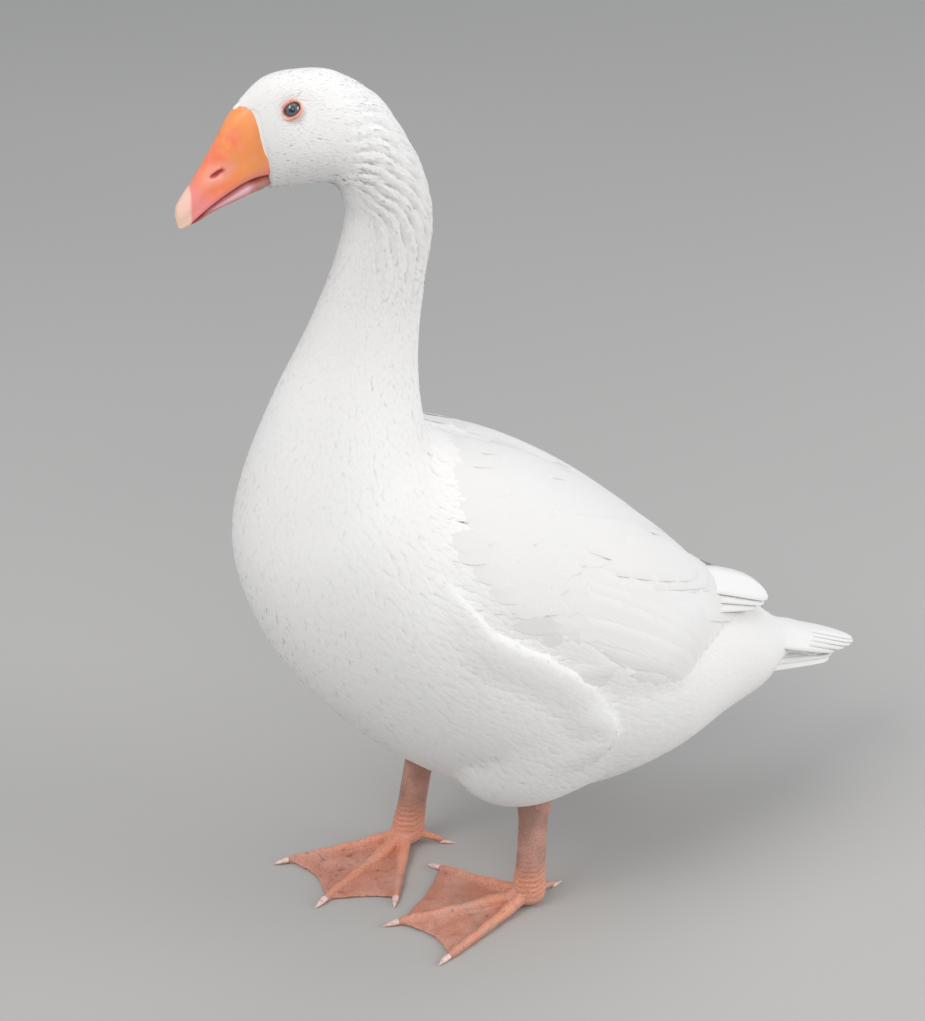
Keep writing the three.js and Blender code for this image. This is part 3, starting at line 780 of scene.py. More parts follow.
def buildClaw(leg, legName, toeName, horn):
    toe = legShape["toes"][toeName]
    long, hidden = legShape["claw"], legShape["clawHidden"]
    steps = np.linspace(0, 1, 18)
    shares = (toe["long"] - hidden + (long + hidden) * steps) / toe["long"]
    half = toe["thick"] * 0.205
    taper = half * np.clip(1.02 - steps ** 2.2, 0.10, 1)
    heights = np.maximum(taper * 0.8, half * (1.0 - 0.75 * steps ** 1.6)) + 0.0002
    spots, faces = tube(toePath(leg, toeName, shares, heights), taper, taper * 0.85, 16)
    spots[:, 2] = np.maximum(spots[:, 2], 0)
    claw = makeMesh("clawHorn_" + toeName + "_" + legName, spots, faces, horn)
    finishPiece(claw, "claw", "claw_" + toeName + "_" + legName)


legSkin = legMaterial()
clawHorn = clawMaterial()
legPieces = [buildLeg(legName) for legName, _ in bothSides]
for legName, _ in bothSides:
    for clawToe in legShape["toes"]:
        buildClaw(legShape[legName], legName, clawToe, clawHorn)
print("legs ready")


# The skin of body, neck and head
skinGrid = {"columns": 168, "bodyStep": 0.0045, "headStep": 0.0022, "tailEnd": 2.8, "billEnd": 23.82}


def rowStations(start, end, step):
    # stations about one step apart along the side's middle line
    fine = np.linspace(start, end, 3000)
    middle = surface(fine, np.full(len(fine), 0.3))
    gaps = np.linalg.norm(np.diff(middle, axis=0), axis=1)
    steps = np.interp((fine[1:] + fine[:-1]) / 2, [17, 21], [step, skinGrid["headStep"]])
    run = np.concatenate([[0], np.cumsum(gaps / steps)])
    return np.interp(np.linspace(0, run[-1], int(run[-1]) + 1), run, fine)


def unwrapSpot(stations, angles):
    # the skin unrolled: along the body, and round it with the seam under the belly
    u = 0.03 + 0.94 * (np.asarray(stations) + 1) / (lastRing + 2)
    v = 0.03 + 0.94 * np.mod(np.asarray(angles) + math.pi / 2, 2 * math.pi) / (2 * math.pi)
    return np.stack([u, v], -1)


def buildBody():
    rows = rowStations(skinGrid["tailEnd"], skinGrid["billEnd"], skinGrid["bodyStep"])
    columns = skinGrid["columns"]
    angles = np.arange(columns) / columns * 2 * math.pi - math.pi / 2
    # the front edge follows the feather line round the bill
    nearFace = smooth(22.6, skinGrid["billEnd"], rows)[:, None]
    stations = rows[:, None] + (faceEnd(angles) - skinGrid["billEnd"])[None, :] * nearFace
    spots = surface(stations, angles[None, :]).reshape(-1, 3)
    body = makeMesh("skin", spots, cappedFaces(len(rows), columns), skinPlumage)
    body.data.materials.append(legSkin)
    # the legs are made one with the body
    for leg in legPieces:
        union = body.modifiers.new("union", "BOOLEAN")
        union.operation = "UNION"
        union.solver = "EXACT"
        union.material_mode = "TRANSFER"
        union.object = leg
    shadeSmooth(bakeModifiers(body))
    for leg in legPieces:
        bpy.data.objects.remove(leg)
    return body


skin = buildBody()
finishPiece(skin, "plumage", "head", "neck_upper", "neck_lower", "trunk", "rump", "tail",
            "wing_left", "wing_right", "thigh_left", "thigh_right", "shank_left", "shank_right",
            "foot_left", "foot_right")
print("skin ready:", len(skin.data.polygons), "faces")


# The coat: thin closed vanes laid along the skin
def sideView(spots):
    return np.stack([place["ankleLine"] - spots[:, 1], spots[:, 2]], -1)


def inWing(stations, spots):
    return wingDepth(spots[:, 0], *sideView(spots).T) * (stations < neckFrom)


def project(ways, normals):
    return unit(ways - (ways * normals).sum(1)[:, None] * normals)


def flowAt(stations, angles, spots, across, along, normals):
    # which way feathers lie: toward the tail, along the wing on the wing, back and down on the thigh
    onNeck = smooth(14.5, 15.5, stations) * (1 - smooth(19.6, 20.6, stations))
    bend = furrowSlant(stations) / furrowShape["perTurn"] * np.clip(np.cos(angles) * 3, -1, 1) * onNeck
    flow = unit(across * bend[:, None] - along)
    reach, height = sideView(spots).T
    onWing = inWing(stations, spots)[:, None]
    slope = wingShape["slope"]
    wingWay = np.array([0, math.cos(slope), -math.sin(slope)])
    thighMiddle, halfReach, halfHeight = thighShape["feathers"]
    ahead, above = (reach - thighShape["reach"]) / halfReach, (height - thighMiddle) / halfHeight
    onThigh = smooth(1.2, 0.4, np.sqrt(ahead ** 2 + above ** 2))
    onThigh = (onThigh * (1 - onWing[:, 0]) * smooth(0.03, 0.06, np.abs(spots[:, 0])))[:, None]
    thighWay = np.array([0, *thighShape["slope"]])
    flow = flow * (1 - onWing) + wingWay * onWing
    flow = flow * (1 - onThigh) + thighWay * onThigh
    return project(flow, normals)


def toSteps(way, along, across):
    # a way on the surface as steps in station and angle
    aa, bb, ab = (along ** 2).sum(1), (across ** 2).sum(1), (along * across).sum(1)
    da, db = (way * along).sum(1), (way * across).sum(1)
    size = np.maximum(aa * bb - ab ** 2, 1e-12)
    return (da * bb - db * ab) / size, (db * aa - da * ab) / size


def layVanes(stations, angles, lengths, widths, depths, shape, columns, drift=0.0, camber=0.0,
             aims=None, rise=0.0, tilt=0.0, base=0.3):
    # each vane marches back from its root over the skin
    # returns its points and the skin's normals, both as [vane, row, column, 3]
    shares, profile = shape["shares"], shape["profile"]
    count, rows = len(stations), len(shares)
    sides = np.linspace(-1, 1, columns)
    points = np.zeros((count, rows, columns, 3))
    normals = np.zeros((count, rows, columns, 3))
    t, a = stations.copy(), angles.copy()
    drift = np.broadcast_to(drift, count)
    for row, share in enumerate(shares):
        along, across, normal = slopes(t, a)
        spots = surface(t, a)
        way = flowAt(t, a, spots, across, along, normal) if aims is None else project(aims, normal)
        sideways = np.cross(normal, way)
        way = way * np.cos(drift)[:, None] + sideways * np.sin(drift)[:, None]
        sideways = np.cross(normal, way)
        dt, da = toSteps(sideways, along, across)
        half = widths / 2 * profile[row]
        raised = depths * (1 - (1 - base) * (1 - share) ** 3) * (share > 0) + rise * share
        for column, side in enumerate(sides):
            lift = raised + (camber * (1 - side ** 2) + tilt * side) * profile[row]
            points[:, row, column] = surface(t + dt * half * side, a + da * half * side, lift)
            normals[:, row, column] = normal
        if row + 1 < rows:
            ds, dr = toSteps(way, along, across)
            step = lengths * (shares[row + 1] - share)
            t, a = t + ds * step, a + dr * step
    return points, normals


def vaneFaces(rows, columns):
    # triangles of one vane: top, underside and both ends, split the same way above and below
    around = 2 * columns - 2
    under = [0] + [2 * columns - 2 - c for c in range(1, columns - 1)] + [columns - 1]
    faces = []
    for row in range(rows - 1):
        near, far = row * around, (row + 1) * around
        for c in range(columns - 1):
            faces += [(near + c, far + c, far + c + 1), (near + c, far + c + 1, near + c + 1)]
            a, b = under[c], under[c + 1]
            faces += [(near + a, far + b, far + a), (near + a, near + b, far + b)]
    for start, flip in ((0, False), ((rows - 1) * around, True)):
        for c in range(columns - 1):
            ends = []
            if under[c + 1] != c + 1:
                ends.append((start + c, start + c + 1, start + under[c + 1]))
            if under[c] != c:
                ends.append((start + c, start + under[c + 1], start + under[c]))
            faces += [face[::-1] if flip else face for face in ends]
    return np.array(faces)


def vaneMesh(name, points, normals, thick, roots, material, soften=0.88, under=1):
    # closed thin solids: the columns on top, and the inner ones again below
    count, rows, columns = points.shape[:3]
    inner = points[:, :, columns - 2:0:-1] - normals[:, :, columns - 2:0:-1] * thick
    around = 2 * columns - 2
    vertices = np.concatenate([points, inner], 2).reshape(-1, 3)
    faces = vaneFaces(rows, columns)
    corners = (faces[None] + np.arange(count)[:, None, None] * rows * around).reshape(-1).astype(np.int32)
    mesh = bpy.data.meshes.new(name)
    mesh.vertices.add(len(vertices))
    mesh.vertices.foreach_set("co", vertices.astype(np.float32).ravel())
    mesh.loops.add(len(corners))
    mesh.loops.foreach_set("vertex_index", corners)
    mesh.polygons.add(len(corners) // 3)
    mesh.polygons.foreach_set("loop_start", np.arange(0, len(corners), 3, dtype=np.int32))
    mesh.polygons.foreach_set("use_smooth", np.ones(len(corners) // 3, bool))
    u = np.linspace(0, 1, columns)
    u = np.concatenate([u, u[columns - 2:0:-1]])
    local = np.stack(np.broadcast_arrays(u[None, :], np.linspace(0, 1, rows)[:, None]), -1).reshape(-1, 2)
    patch = roots[:, None, :] + (local[None] - 0.5) * 0.003
    for mapName, spots in (("OFBake", patch.reshape(-1, 2)), ("Vane", np.tile(local, (count, 1)))):
        layer = mesh.uv_layers.new(name=mapName)
        layer.data.foreach_set("uv", spots[corners].astype(np.float32).ravel())
    mesh.update(calc_edges=True)
    mesh.materials.append(material)
    own = np.zeros(len(vertices) * 3, np.float32)
    mesh.vertices.foreach_get("normal", own)
    wanted = np.concatenate([normals, under * normals[:, :, columns - 2:0:-1]], 2).reshape(-1, 3)
    mesh.normals_split_custom_set_from_vertices(unit(own.reshape(-1, 3) * (1 - soften) + wanted * soften))
    piece = bpy.data.objects.new(name, mesh)
    bpy.context.scene.collection.objects.link(piece)
    return piece


def scatter(low, high, spacingAt, keep, seed, tries=7):
    # roots spread evenly over the skin between two stations, spacingAt(station) apart
    pick = np.random.default_rng(seed)
    rows, columns = 240, 72
    table = np.linspace(low, high, rows)
    gridT, gridA = np.meshgrid(table, np.linspace(0, 2 * math.pi, columns, endpoint=False), indexing="ij")
    flatT, flatA = gridT.ravel(), gridA.ravel()
    along, across, _ = slopes(flatT, flatA)
    cellT, cellA = table[1] - table[0], 2 * math.pi / columns
    area = np.linalg.norm(np.cross(along, across), axis=1) * cellT * cellA
    weight = area / spacingAt(flatT) ** 2
    wanted = int(weight.sum() * tries)
    cells = pick.choice(len(flatT), wanted, p=weight / weight.sum())
    t = flatT[cells] + (pick.random(wanted) - 0.5) * cellT
    a = flatA[cells] + (pick.random(wanted) - 0.5) * cellA
    spots = surface(t, a)
    kept = (t >= low) & (t <= high) & keep(t, a, spots)
    t, a, spots = t[kept], a[kept], spots[kept]
    gaps = spacingAt(t)
    tree = kdtree.KDTree(len(t))
    for index, spot in enumerate(spots):
        tree.insert(spot, index)
    tree.balance()
    free = np.ones(len(t), bool)
    chosen = []
    for index in range(len(t)):
        if free[index]:
            chosen.append(index)
            for _, other, _ in tree.find_range(spots[index], gaps[index]):
                free[other] = False
    return t[chosen], a[chosen]


# Vane shapes: places along a vane as shares of its length, and its width there as shares of the widest.
shapes = {
    "long": {"shares": (0, 0.15, 0.35, 0.55, 0.72, 0.85, 0.93, 0.98, 1.0),
             "profile": (0.25, 0.7, 0.92, 1.0, 1.0, 0.93, 0.74, 0.45, 0.10)},
    "round": {"shares": (0, 0.35, 0.62, 0.82, 0.94, 1.0), "profile": (0.35, 0.95, 1.0, 0.80, 0.48, 0.10)},
    "soft": {"shares": (0, 0.4, 0.72, 1.0), "profile": (0.5, 1.0, 0.8, 0.10)},
    "hair": {"shares": (0, 0.55, 1.0), "profile": (0.7, 1.0, 0.12)},
}
# Contour feathers zone by zone: stations, spacing as a share of their length, arch across, and how far
# their shading follows the skin.
zones = {
    "tailCoat": {"low": 2.75, "high": 3.8, "gap": 0.10, "shape": "soft", "camber": 0.0004, "soften": 0.86},
    "rumpCoat": {"low": 3.8, "high": 6.4, "gap": 0.115, "shape": "soft", "camber": 0.0003, "soften": 0.86},
    "bodyCoat": {"low": 6.4, "high": 9.6, "gap": 0.108, "shape": "soft", "camber": 0.0003, "soften": 0.86},
    "breastCoat": {"low": 9.6, "high": 13.0, "gap": 0.104, "shape": "soft", "camber": 0.0002,
                   "soften": 0.85},
    "lowerNeckCoat": {"low": 13.0, "high": 15.6, "gap": 0.112, "shape": "soft", "camber": 0.0002,
                      "soften": 0.84},
    "upperNeckCoat": {"low": 15.6, "high": 19.2, "gap": 0.120, "shape": "soft", "camber": 0.0001,
                      "soften": 0.82},
    "headCoat": {"low": 19.2, "high": 24.2, "gap": 0.165, "shape": "hair", "camber": 0.0001, "soften": 0.82},
}


def fromEye(spots):
    # how far ahead of the eye a place is in the head's side view, and how far from it
    offset = spots[:, 1] - place["ankleLine"] + place["neckAxis"]
    ahead = -spots[:, 0] * math.sin(place["headTurn"]) - offset * math.cos(place["headTurn"])
    forward = ahead + place["neckAxis"] - eyeShape["reach"]
    return forward, np.hypot(forward, spots[:, 2] - eyeShape["height"])


def onTheHead(t, a, spots):
    forward, away = fromEye(spots)
    # the lids' oval leaves its own bare patch
    oval = away / (1 + 0.16 * np.cos(2 * (np.arctan2(spots[:, 2] - eyeShape["height"], forward) + 0.58)))
    return (t < faceEnd(a)) & (oval > 0.0074)


def offTheWing(t, a, spots):
    return inWing(t, spots) < 0.6


def buildZone(name, seed):
    zone = zones[name]
    keep = onTheHead if name == "headCoat" else offTheWing
    t, a = scatter(zone["low"], zone["high"], lambda s: coatValue(s, "length") * zone["gap"], keep, seed)
    pick = np.random.default_rng(seed + 100)
    count = len(t)
    lengths = coatValue(t, "length") * pick.uniform(0.88, 1.15, count)
    widths = coatValue(t, "width") * pick.uniform(1.0, 1.25, count)
    depths = coatValue(t, "depth") * pick.uniform(0.97, 1.01, count)
    if name == "headCoat":
        # tufts ahead of the eye stop at its lids
        forward, away = fromEye(surface(t, a))
        room = np.where((forward > -0.003) & (away < 0.016), np.maximum(away - 0.0072, 0.0012), 1.0)
        lengths = np.minimum(lengths, room)
        depths = depths * (0.35 + 0.65 * smooth(0.007, 0.017, away))
    drift = pick.normal(0, 0.07, count)
    points, normals = layVanes(t, a, lengths, widths, depths, shapes[zone["shape"]], 3,
                               drift=drift, camber=zone["camber"])
    thick = coatValue(t, "depth")[:, None, None, None] * 0.04 + 0.0001
    piece = vaneMesh(name, points, normals, thick, unwrapSpot(t, a), vanePlumage, soften=zone["soften"])
    finishPiece(piece, "plumage")
    print(name, count, "vanes", len(piece.data.polygons), "faces")


for zoneSeed, zoneName in enumerate(zones):
    buildZone(zoneName, zoneSeed + 11)


# The folded wings
wingCoat = {
    "coverts": {"low": 3.4, "high": 13.0, "gap": 0.0068, "length": 0.042, "width": 0.0160, "depth": 0.0050},
    # rows of long feathers: tips in side view along the wing's rear edge, lengths, widths
    "secondaries": {"count": 11, "tips": [(-0.086, 0.189), (-0.099, 0.191), (-0.110, 0.200),
                                          (-0.128, 0.2065), (-0.152, 0.210), (-0.176, 0.209)],
                    "slopes": (25, 31, 36, 38, 37, 34, 31, 28, 26), "long": 0.150, "width": 0.029,
                    "depth": 0.0040, "stack": 0.00018, "tilt": -0.0008, "rise": 0.0},
    "tertials": {"count": 6, "tips": [(-0.176, 0.206), (-0.190, 0.206), (-0.178, 0.217), (-0.160, 0.232),
                                      (-0.140, 0.248)],
                 "slopes": (28, 26, 25, 25), "long": 0.120, "width": 0.034,
                 "depth": 0.0052, "stack": 0.0002, "tilt": -0.0004, "rise": 0.002},
    "scapulars": {"count": 5, "tips": [(-0.078, 0.284), (-0.094, 0.281), (-0.108, 0.276)],
                  "slopes": (30, 28, 26), "long": 0.085, "width": 0.027,
                  "depth": 0.0056, "stack": 0.0002, "tilt": -0.0003, "rise": 0.0},
}


def sideFinder(low, high):
    # looks up the station and angle of a place given in side view, on the left side
    angles = np.linspace(-math.pi / 2, math.pi / 2, 150)
    t, a = [grid.ravel() for grid in np.meshgrid(np.linspace(low, high, 260), angles, indexing="ij")]
    spots = surface(t, a)
    tree = kdtree.KDTree(len(t))
    for index, spot in enumerate(spots):
        tree.insert((0, spot[1], spot[2]), index)
    tree.balance()

    def find(reach, height):
        index = tree.find((0, place["ankleLine"] - reach, height))[1]
        return t[index], a[index]
    return find


findSide = sideFinder(2.0, 13.5)


def alongLine(line, share):
    line = np.array(line)
    run = np.concatenate([[0], np.cumsum(np.linalg.norm(np.diff(line, axis=0), axis=1))])
    return np.array([np.interp(share * run[-1], run, line[:, k]) for k in range(2)])


def wingRow(row, side, pick):
    # one row of long feathers, each root found by going back up the wing from its tip
    count = row["count"]
    roots, ends = [], []
    for i in range(count):
        tip = alongLine(row["tips"], i / (count - 1))
        turn = np.interp(i / (count - 1), np.linspace(0, 1, len(row["slopes"])), row["slopes"])
        slope = math.radians(turn) + pick.normal(0, 0.012)
        way = np.array([-math.cos(slope), -math.sin(slope)])
        root = tip - way * row["long"]
        roots.append(findSide(*root))
        ends.append(findSide(*tip))
    roots, ends = np.array(roots), np.array(ends)
    angles = roots[:, 1] if side > 0 else math.pi - roots[:, 1]
    endAngles = ends[:, 1] if side > 0 else math.pi - ends[:, 1]
    aims = surface(ends[:, 0], endAngles) - surface(roots[:, 0], angles)
    lengths = np.linalg.norm(aims, axis=1) * 1.015
    depths = row["depth"] + row["stack"] * np.arange(count)
    widths = np.full(count, row["width"]) * pick.uniform(0.94, 1.06, count)
    stations = roots[:, 0]
    points, normals = layVanes(stations, angles, lengths, widths, depths, shapes["long"], 5, camber=0.0004,
                               aims=aims, tilt=row["tilt"] * -side, rise=row["rise"], base=0.75)
    return points, normals, unwrapSpot(stations, angles)


def buildWing(name, side, seed):
    pick = np.random.default_rng(seed)
    for rowName in ("secondaries", "tertials", "scapulars"):
        points, normals, roots = wingRow(wingCoat[rowName], side, pick)
        piece = vaneMesh(rowName + "_" + name, points, normals, 0.0004, roots, wingShadedPlumage,
                         soften=0.75, under=-1)
        finishPiece(piece, "plumage")
    coverts = wingCoat["coverts"]

    def keep(t, a, spots):
        clear = insideOutline(sideView(spots), wingShape["panel"]) < pick.uniform(-0.004, 0.016, len(t))
        return (inWing(t, spots) >= 0.35) & (spots[:, 0] * side > 0) & clear

    t, a = scatter(coverts["low"], coverts["high"], lambda s: np.full(len(s), coverts["gap"]), keep, seed)
    count = len(t)
    # the feathers beside the spine are longer and slimmer
    beside = 1 - smooth(0.25, 0.75, fromNape(a))
    lengths = coverts["length"] * pick.uniform(0.85, 1.15, count) * (1 + 0.75 * beside)
    widths = coverts["width"] * pick.uniform(0.9, 1.1, count) * (1 - 0.15 * beside)
    depths = coverts["depth"] * pick.uniform(0.98, 1.01, count)
    # they lie a little lower near the panel of long feathers
    beyond = insideOutline(sideView(surface(t, a)), wingShape["panel"])
    depths = depths - 0.0008 * smooth(-0.030, 0.0, beyond)
    points, normals = layVanes(t, a, lengths, widths, depths, shapes["round"], 5,
                               drift=pick.normal(0, 0.07, count), camber=0.0003, base=0.5)
    piece = vaneMesh("coverts_" + name, points, normals, 0.00025, unwrapSpot(t, a), wingShadedPlumage,
                     soften=0.91, under=-1)
    finishPiece(piece, "plumage")


for wingName, wingSide in bothSides:
    buildWing(wingName, wingSide, 40 + wingSide)
print("wings ready")


# Flight feathers and tail, which stand free of the skin
blades = {
    # root and tip as (reach, height, across) on the left side, and the width
    "primaries": [((-0.112, 0.240, 0.083), (-0.215, 0.1955, 0.029), 0.034),
                  ((-0.112, 0.248, 0.077), (-0.229, 0.1895, 0.022), 0.032),
                  ((-0.112, 0.255, 0.072), (-0.236, 0.188, 0.018), 0.030)],
    "facing": (0.42, 0.45, 0.79),
    "rightTuck": 0.005,        # the right wing's tips lie this much lower and farther forward
    "bow": 0.004,
    "camber": 0.0007,
    "thick": 0.0006,
}
tailFans = {
    "tailFeathers": {"root": (-0.232, 0.153), "tip": (-0.3345, 0.1115), "rootHalf": 0.022, "tipHalf": 0.014,
                     "shorter": 0.26, "droop": (0.006, 0.003), "width": 0.024, "lean": 0.45,
                     "camber": 0.0018},
    "tailFeathersBelow": {"root": (-0.215, 0.131), "tip": (-0.313, 0.1145), "rootHalf": 0.026,
                          "tipHalf": 0.020, "shorter": 0.16, "droop": (0.004, 0.001), "width": 0.022,
                          "lean": 0.2, "camber": 0.0005},
}
fanCount, fanBow = 9, 0.0025


def bladeVanes(roots, tips, facings, widths, bow, camber):
    # straight vanes from root to tip with a slight bow, in the plane that faces outward
    roots, tips, facings = np.array(roots), np.array(tips), unit(np.array(facings))
    along = unit(tips - roots)
    normals = project(facings, along)
    across = np.cross(normals, along)
    shares, profile = np.array(shapes["long"]["shares"]), np.array(shapes["long"]["profile"])
    middle = roots[:, None] + (tips - roots)[:, None] * shares[None, :, None]
    middle = middle + normals[:, None] * (bow * np.sin(shares * math.pi))[None, :, None]
    sides = np.linspace(-1, 1, 5)
    half = (np.array(widths)[:, None] / 2 * profile[None])[:, :, None, None]
    spread = across[:, None, None] * half * sides[None, None, :, None]
    arch = (camber * (1 - sides ** 2))[None, None, :, None]
    crown = normals[:, None, None] * arch * profile[None, :, None, None]
    points = middle[:, :, None] + spread + crown
    return points, np.broadcast_to(normals[:, None, None], points.shape)


def fromSide(reach, height, across):
    return (across, place["ankleLine"] - reach, height)


def buildPrimaries(name, side):
    rows = blades["primaries"]
    count = len(rows)
    tuck = blades["rightTuck"] if side < 0 else 0.0
    roots = [fromSide(r[0], r[1] - 4 * tuck, r[2] * side) for r, _, _ in rows]
    tips = [fromSide(p[0] + tuck, p[1] - tuck, p[2] * side) for _, p, _ in rows]
    widths = [w for _, _, w in rows]
    facing = (blades["facing"][0] * side, *blades["facing"][1:])
    points, normals = bladeVanes(roots, tips, [facing] * count, widths, blades["bow"], blades["camber"])
    patches = unwrapSpot(np.full(count, 5.0), np.full(count, 0.9 if side > 0 else 2.2))
    piece = vaneMesh("primaries_" + name, points, normals, blades["thick"], patches, vanePlumage,
                     soften=0.5, under=-1)
    finishPiece(piece, "plumage", "flight_feathers_" + name)


def buildTail(name):
    fan = tailFans[name]
    count = fanCount
    share = np.linspace(-1, 1, count)
    rootReach, rootHeight = fan["root"]
    long = (rootReach - fan["tip"][0]) * (1 - fan["shorter"] * share ** 2)
    slope = (rootHeight - fan["tip"][1]) / (rootReach - fan["tip"][0])
    rootY = np.full(count, place["ankleLine"] - rootReach)
    roots = np.column_stack([share * fan["rootHalf"], rootY, rootHeight - fan["droop"][0] * share ** 2])
    tips = np.column_stack([share * fan["tipHalf"], rootY + long,
                            rootHeight - slope * long - fan["droop"][1] * share ** 2])
    facings = np.column_stack([share * fan["lean"], np.full(count, 0.30), np.full(count, 0.95)])
    widths = np.full(count, fan["width"])
    points, normals = bladeVanes(roots, tips, facings, widths, fanBow, fan["camber"])
    # each feather lies a little over its outer neighbour
    points[..., 2] += (0.0002 * (1 - np.abs(share)) * count / 2)[:, None, None]
    patches = unwrapSpot(np.full(count, 2.4), np.linspace(0.4, 2.7, count))
    tail = vaneMesh(name, points, normals, blades["thick"], patches, vanePlumage, soften=0.4, under=-1)
    finishPiece(tail, "plumage")


for wingName, wingSide in bothSides:
    buildPrimaries(wingName, wingSide)
for fanName in tailFans:
    buildTail(fanName)
print("flight and tail feathers ready")


# Bill
billShape = {
    # back (reach, height), belly (reach, height), half width, squareness of the top, narrowing of the ridge
    "upper": np.array([(0.1580, 0.6380, 0.1440, 0.5900, 0.0122, 0.85, 0.00),
                       (0.1680, 0.6368, 0.1525, 0.5868, 0.0147, 0.85, 0.00),
                       (0.1745, 0.6336, 0.1605, 0.5850, 0.0154, 0.82, 0.02),
                       (0.1800, 0.6288, 0.1685, 0.5835, 0.0154, 0.84, 0.06),
                       (0.1855, 0.6215, 0.1765, 0.5806, 0.0149, 0.88, 0.13),
                       (0.1915, 0.6105, 0.1850, 0.5758, 0.0142, 0.92, 0.20),
                       (0.1985, 0.5986, 0.1930, 0.5705, 0.0132, 0.98, 0.25),
                       (0.2055, 0.5872, 0.2005, 0.5648, 0.0121, 0.98, 0.25),
                       (0.2115, 0.5775, 0.2065, 0.5593, 0.0109, 0.95, 0.22),
                       (0.2165, 0.5702, 0.2120, 0.5538, 0.0091, 0.90, 0.18),
                       (0.2202, 0.5640, 0.2170, 0.5503, 0.0068, 0.85, 0.12),
                       (0.2214, 0.5585, 0.2198, 0.5500, 0.0042, 0.80, 0.05)]),
    "lower": np.array([(0.1460, 0.5900, 0.1440, 0.5820, 0.0040, 0.5, 0),
                       (0.1570, 0.5855, 0.1550, 0.5790, 0.0085, 0.5, 0),
                       (0.1655, 0.5834, 0.1640, 0.5757, 0.0132, 0.5, 0),
                       (0.1745, 0.5802, 0.1730, 0.5730, 0.0138, 0.5, 0),
                       (0.1830, 0.5754, 0.1815, 0.5690, 0.0130, 0.5, 0),
                       (0.1920, 0.5697, 0.1905, 0.5652, 0.0120, 0.5, 0),
                       (0.2005, 0.5634, 0.1995, 0.5606, 0.0106, 0.5, 0),
                       (0.2075, 0.5574, 0.2070, 0.5555, 0.0086, 0.5, 0),
                       (0.2125, 0.5537, 0.2120, 0.5522, 0.0055, 0.5, 0)]),
    "nostril": (0.1934, 0.5893),
    "nostrilSlope": math.radians(-33),
    "upperGrid": (160, 108),        # rows and columns
    "lowerGrid": (110, 72),
    "sideSquare": 0.34,             # how upright the sides stand below the middle
    "upperFlat": 0.56,              # how flat the underside of each half is
    "lowerFlat": 0.6,
    "tooth": 0.0017,
}


def billGrid(rings, rows, columns, flatness):
    # a grid over the bill's rings: its sides stand upright below, its top is squarer near the forehead
    curve = catmull(rings, np.linspace(0, len(rings) - 1, rows))
    angles = np.arange(columns) / columns * 2 * math.pi - math.pi / 2
    back, belly = curve[:, None, 0:2], curve[:, None, 2:4]
    half, square, crest = curve[:, 4:5], curve[:, 5:6], curve[:, 6:7]
    middle, arm = (back + belly) / 2, (back - belly) / 2
    cos, sin = np.cos(angles)[None], np.sin(angles)[None]
    low = np.where(sin < 0, -np.abs(sin) ** flatness, sin)
    wide = np.sign(cos) * np.abs(cos) ** np.where(sin < 0, billShape["sideSquare"], square)
    across = wide * half * (1 - crest * sin)
    spot = middle + arm * low[..., None]
    return across, spot[..., 0], spot[..., 1], angles


def buildBillUpper():
    rows, columns = billShape["upperGrid"]
    across, reach, height, angles = billGrid(billShape["upper"], rows, columns, billShape["upperFlat"])
    sin = np.sin(angles)[None]
    # the hollow round the nostril, the slit itself and its rim
    slope = billShape["nostrilSlope"]
    dr, dh = reach - billShape["nostril"][0], height - billShape["nostril"][1]
    along = dr * math.cos(slope) + dh * math.sin(slope)
    aside = -dr * math.sin(slope) + dh * math.cos(slope)
    onSide = smooth(0.004, 0.009, np.abs(across))
    hollow = 0.0012 * np.exp(-((along + 0.002) / 0.0135) ** 2 - ((aside - 0.001) / 0.0060) ** 2)
    slim = np.maximum(0.00125 - 0.05 * along, 0.0004)
    slit = 0.0030 * np.exp(-(np.abs(along) / 0.0050) ** 4 - (np.abs(aside) / slim) ** 2.4)
    rim = 0.00045 * np.exp(-(along / 0.0065) ** 4) * np.exp(-((np.abs(aside) - 0.0028) / 0.0012) ** 2)
    sunk = (hollow + slit - rim) * onSide
    # the nail, the ridge's flat, the lip along the edge, the corner of the gape and the fine teeth
    nail = 0.00035 * smooth(0.2108, 0.2118, reach) - 0.00030 * bell(reach, 0.2106, 0.0006)
    ridgeBack = 0.0006 * bell(sin, 0.62, 0.25) * smooth(0.170, 0.178, reach)
    ridgeBack = ridgeBack * (1 - smooth(0.186, 0.196, reach))
    lip = 0.0006 * bell(sin, -0.62, 0.26) * smooth(0.163, 0.172, reach)
    gape = 0.0010 * bell(sin, -0.75, 0.4) * (1 - smooth(0.159, 0.166, reach))
    teeth = 0.00016 * np.sin(reach * 2 * math.pi / billShape["tooth"]) * bell(sin, -0.80, 0.14)
    grow = lip + nail + teeth + gape - ridgeBack - sunk
    across = across + np.sign(across) * grow * np.abs(np.cos(angles))[None] ** 0.5
    height = height + sin * nail
    spots = onHead(reach, height, across).reshape(-1, 3)
    piece = makeMesh("billUpper", spots, cappedFaces(rows, columns), billSkin)
    finishPiece(piece, "bill", "bill_upper")


def buildBillLower():
    rows, columns = billShape["lowerGrid"]
    across, reach, height, angles = billGrid(billShape["lower"], rows, columns, billShape["lowerFlat"])
    sin = np.sin(angles)[None]
    groove = 0.0005 * bell(sin, -0.15, 0.22) * smooth(0.166, 0.174, reach)
    across = across - np.sign(across) * groove
    spots = onHead(reach, height, across).reshape(-1, 3)
    piece = makeMesh("billLower", spots, cappedFaces(rows, columns), paleBill)
    finishPiece(piece, "bill_pale", "bill_lower")


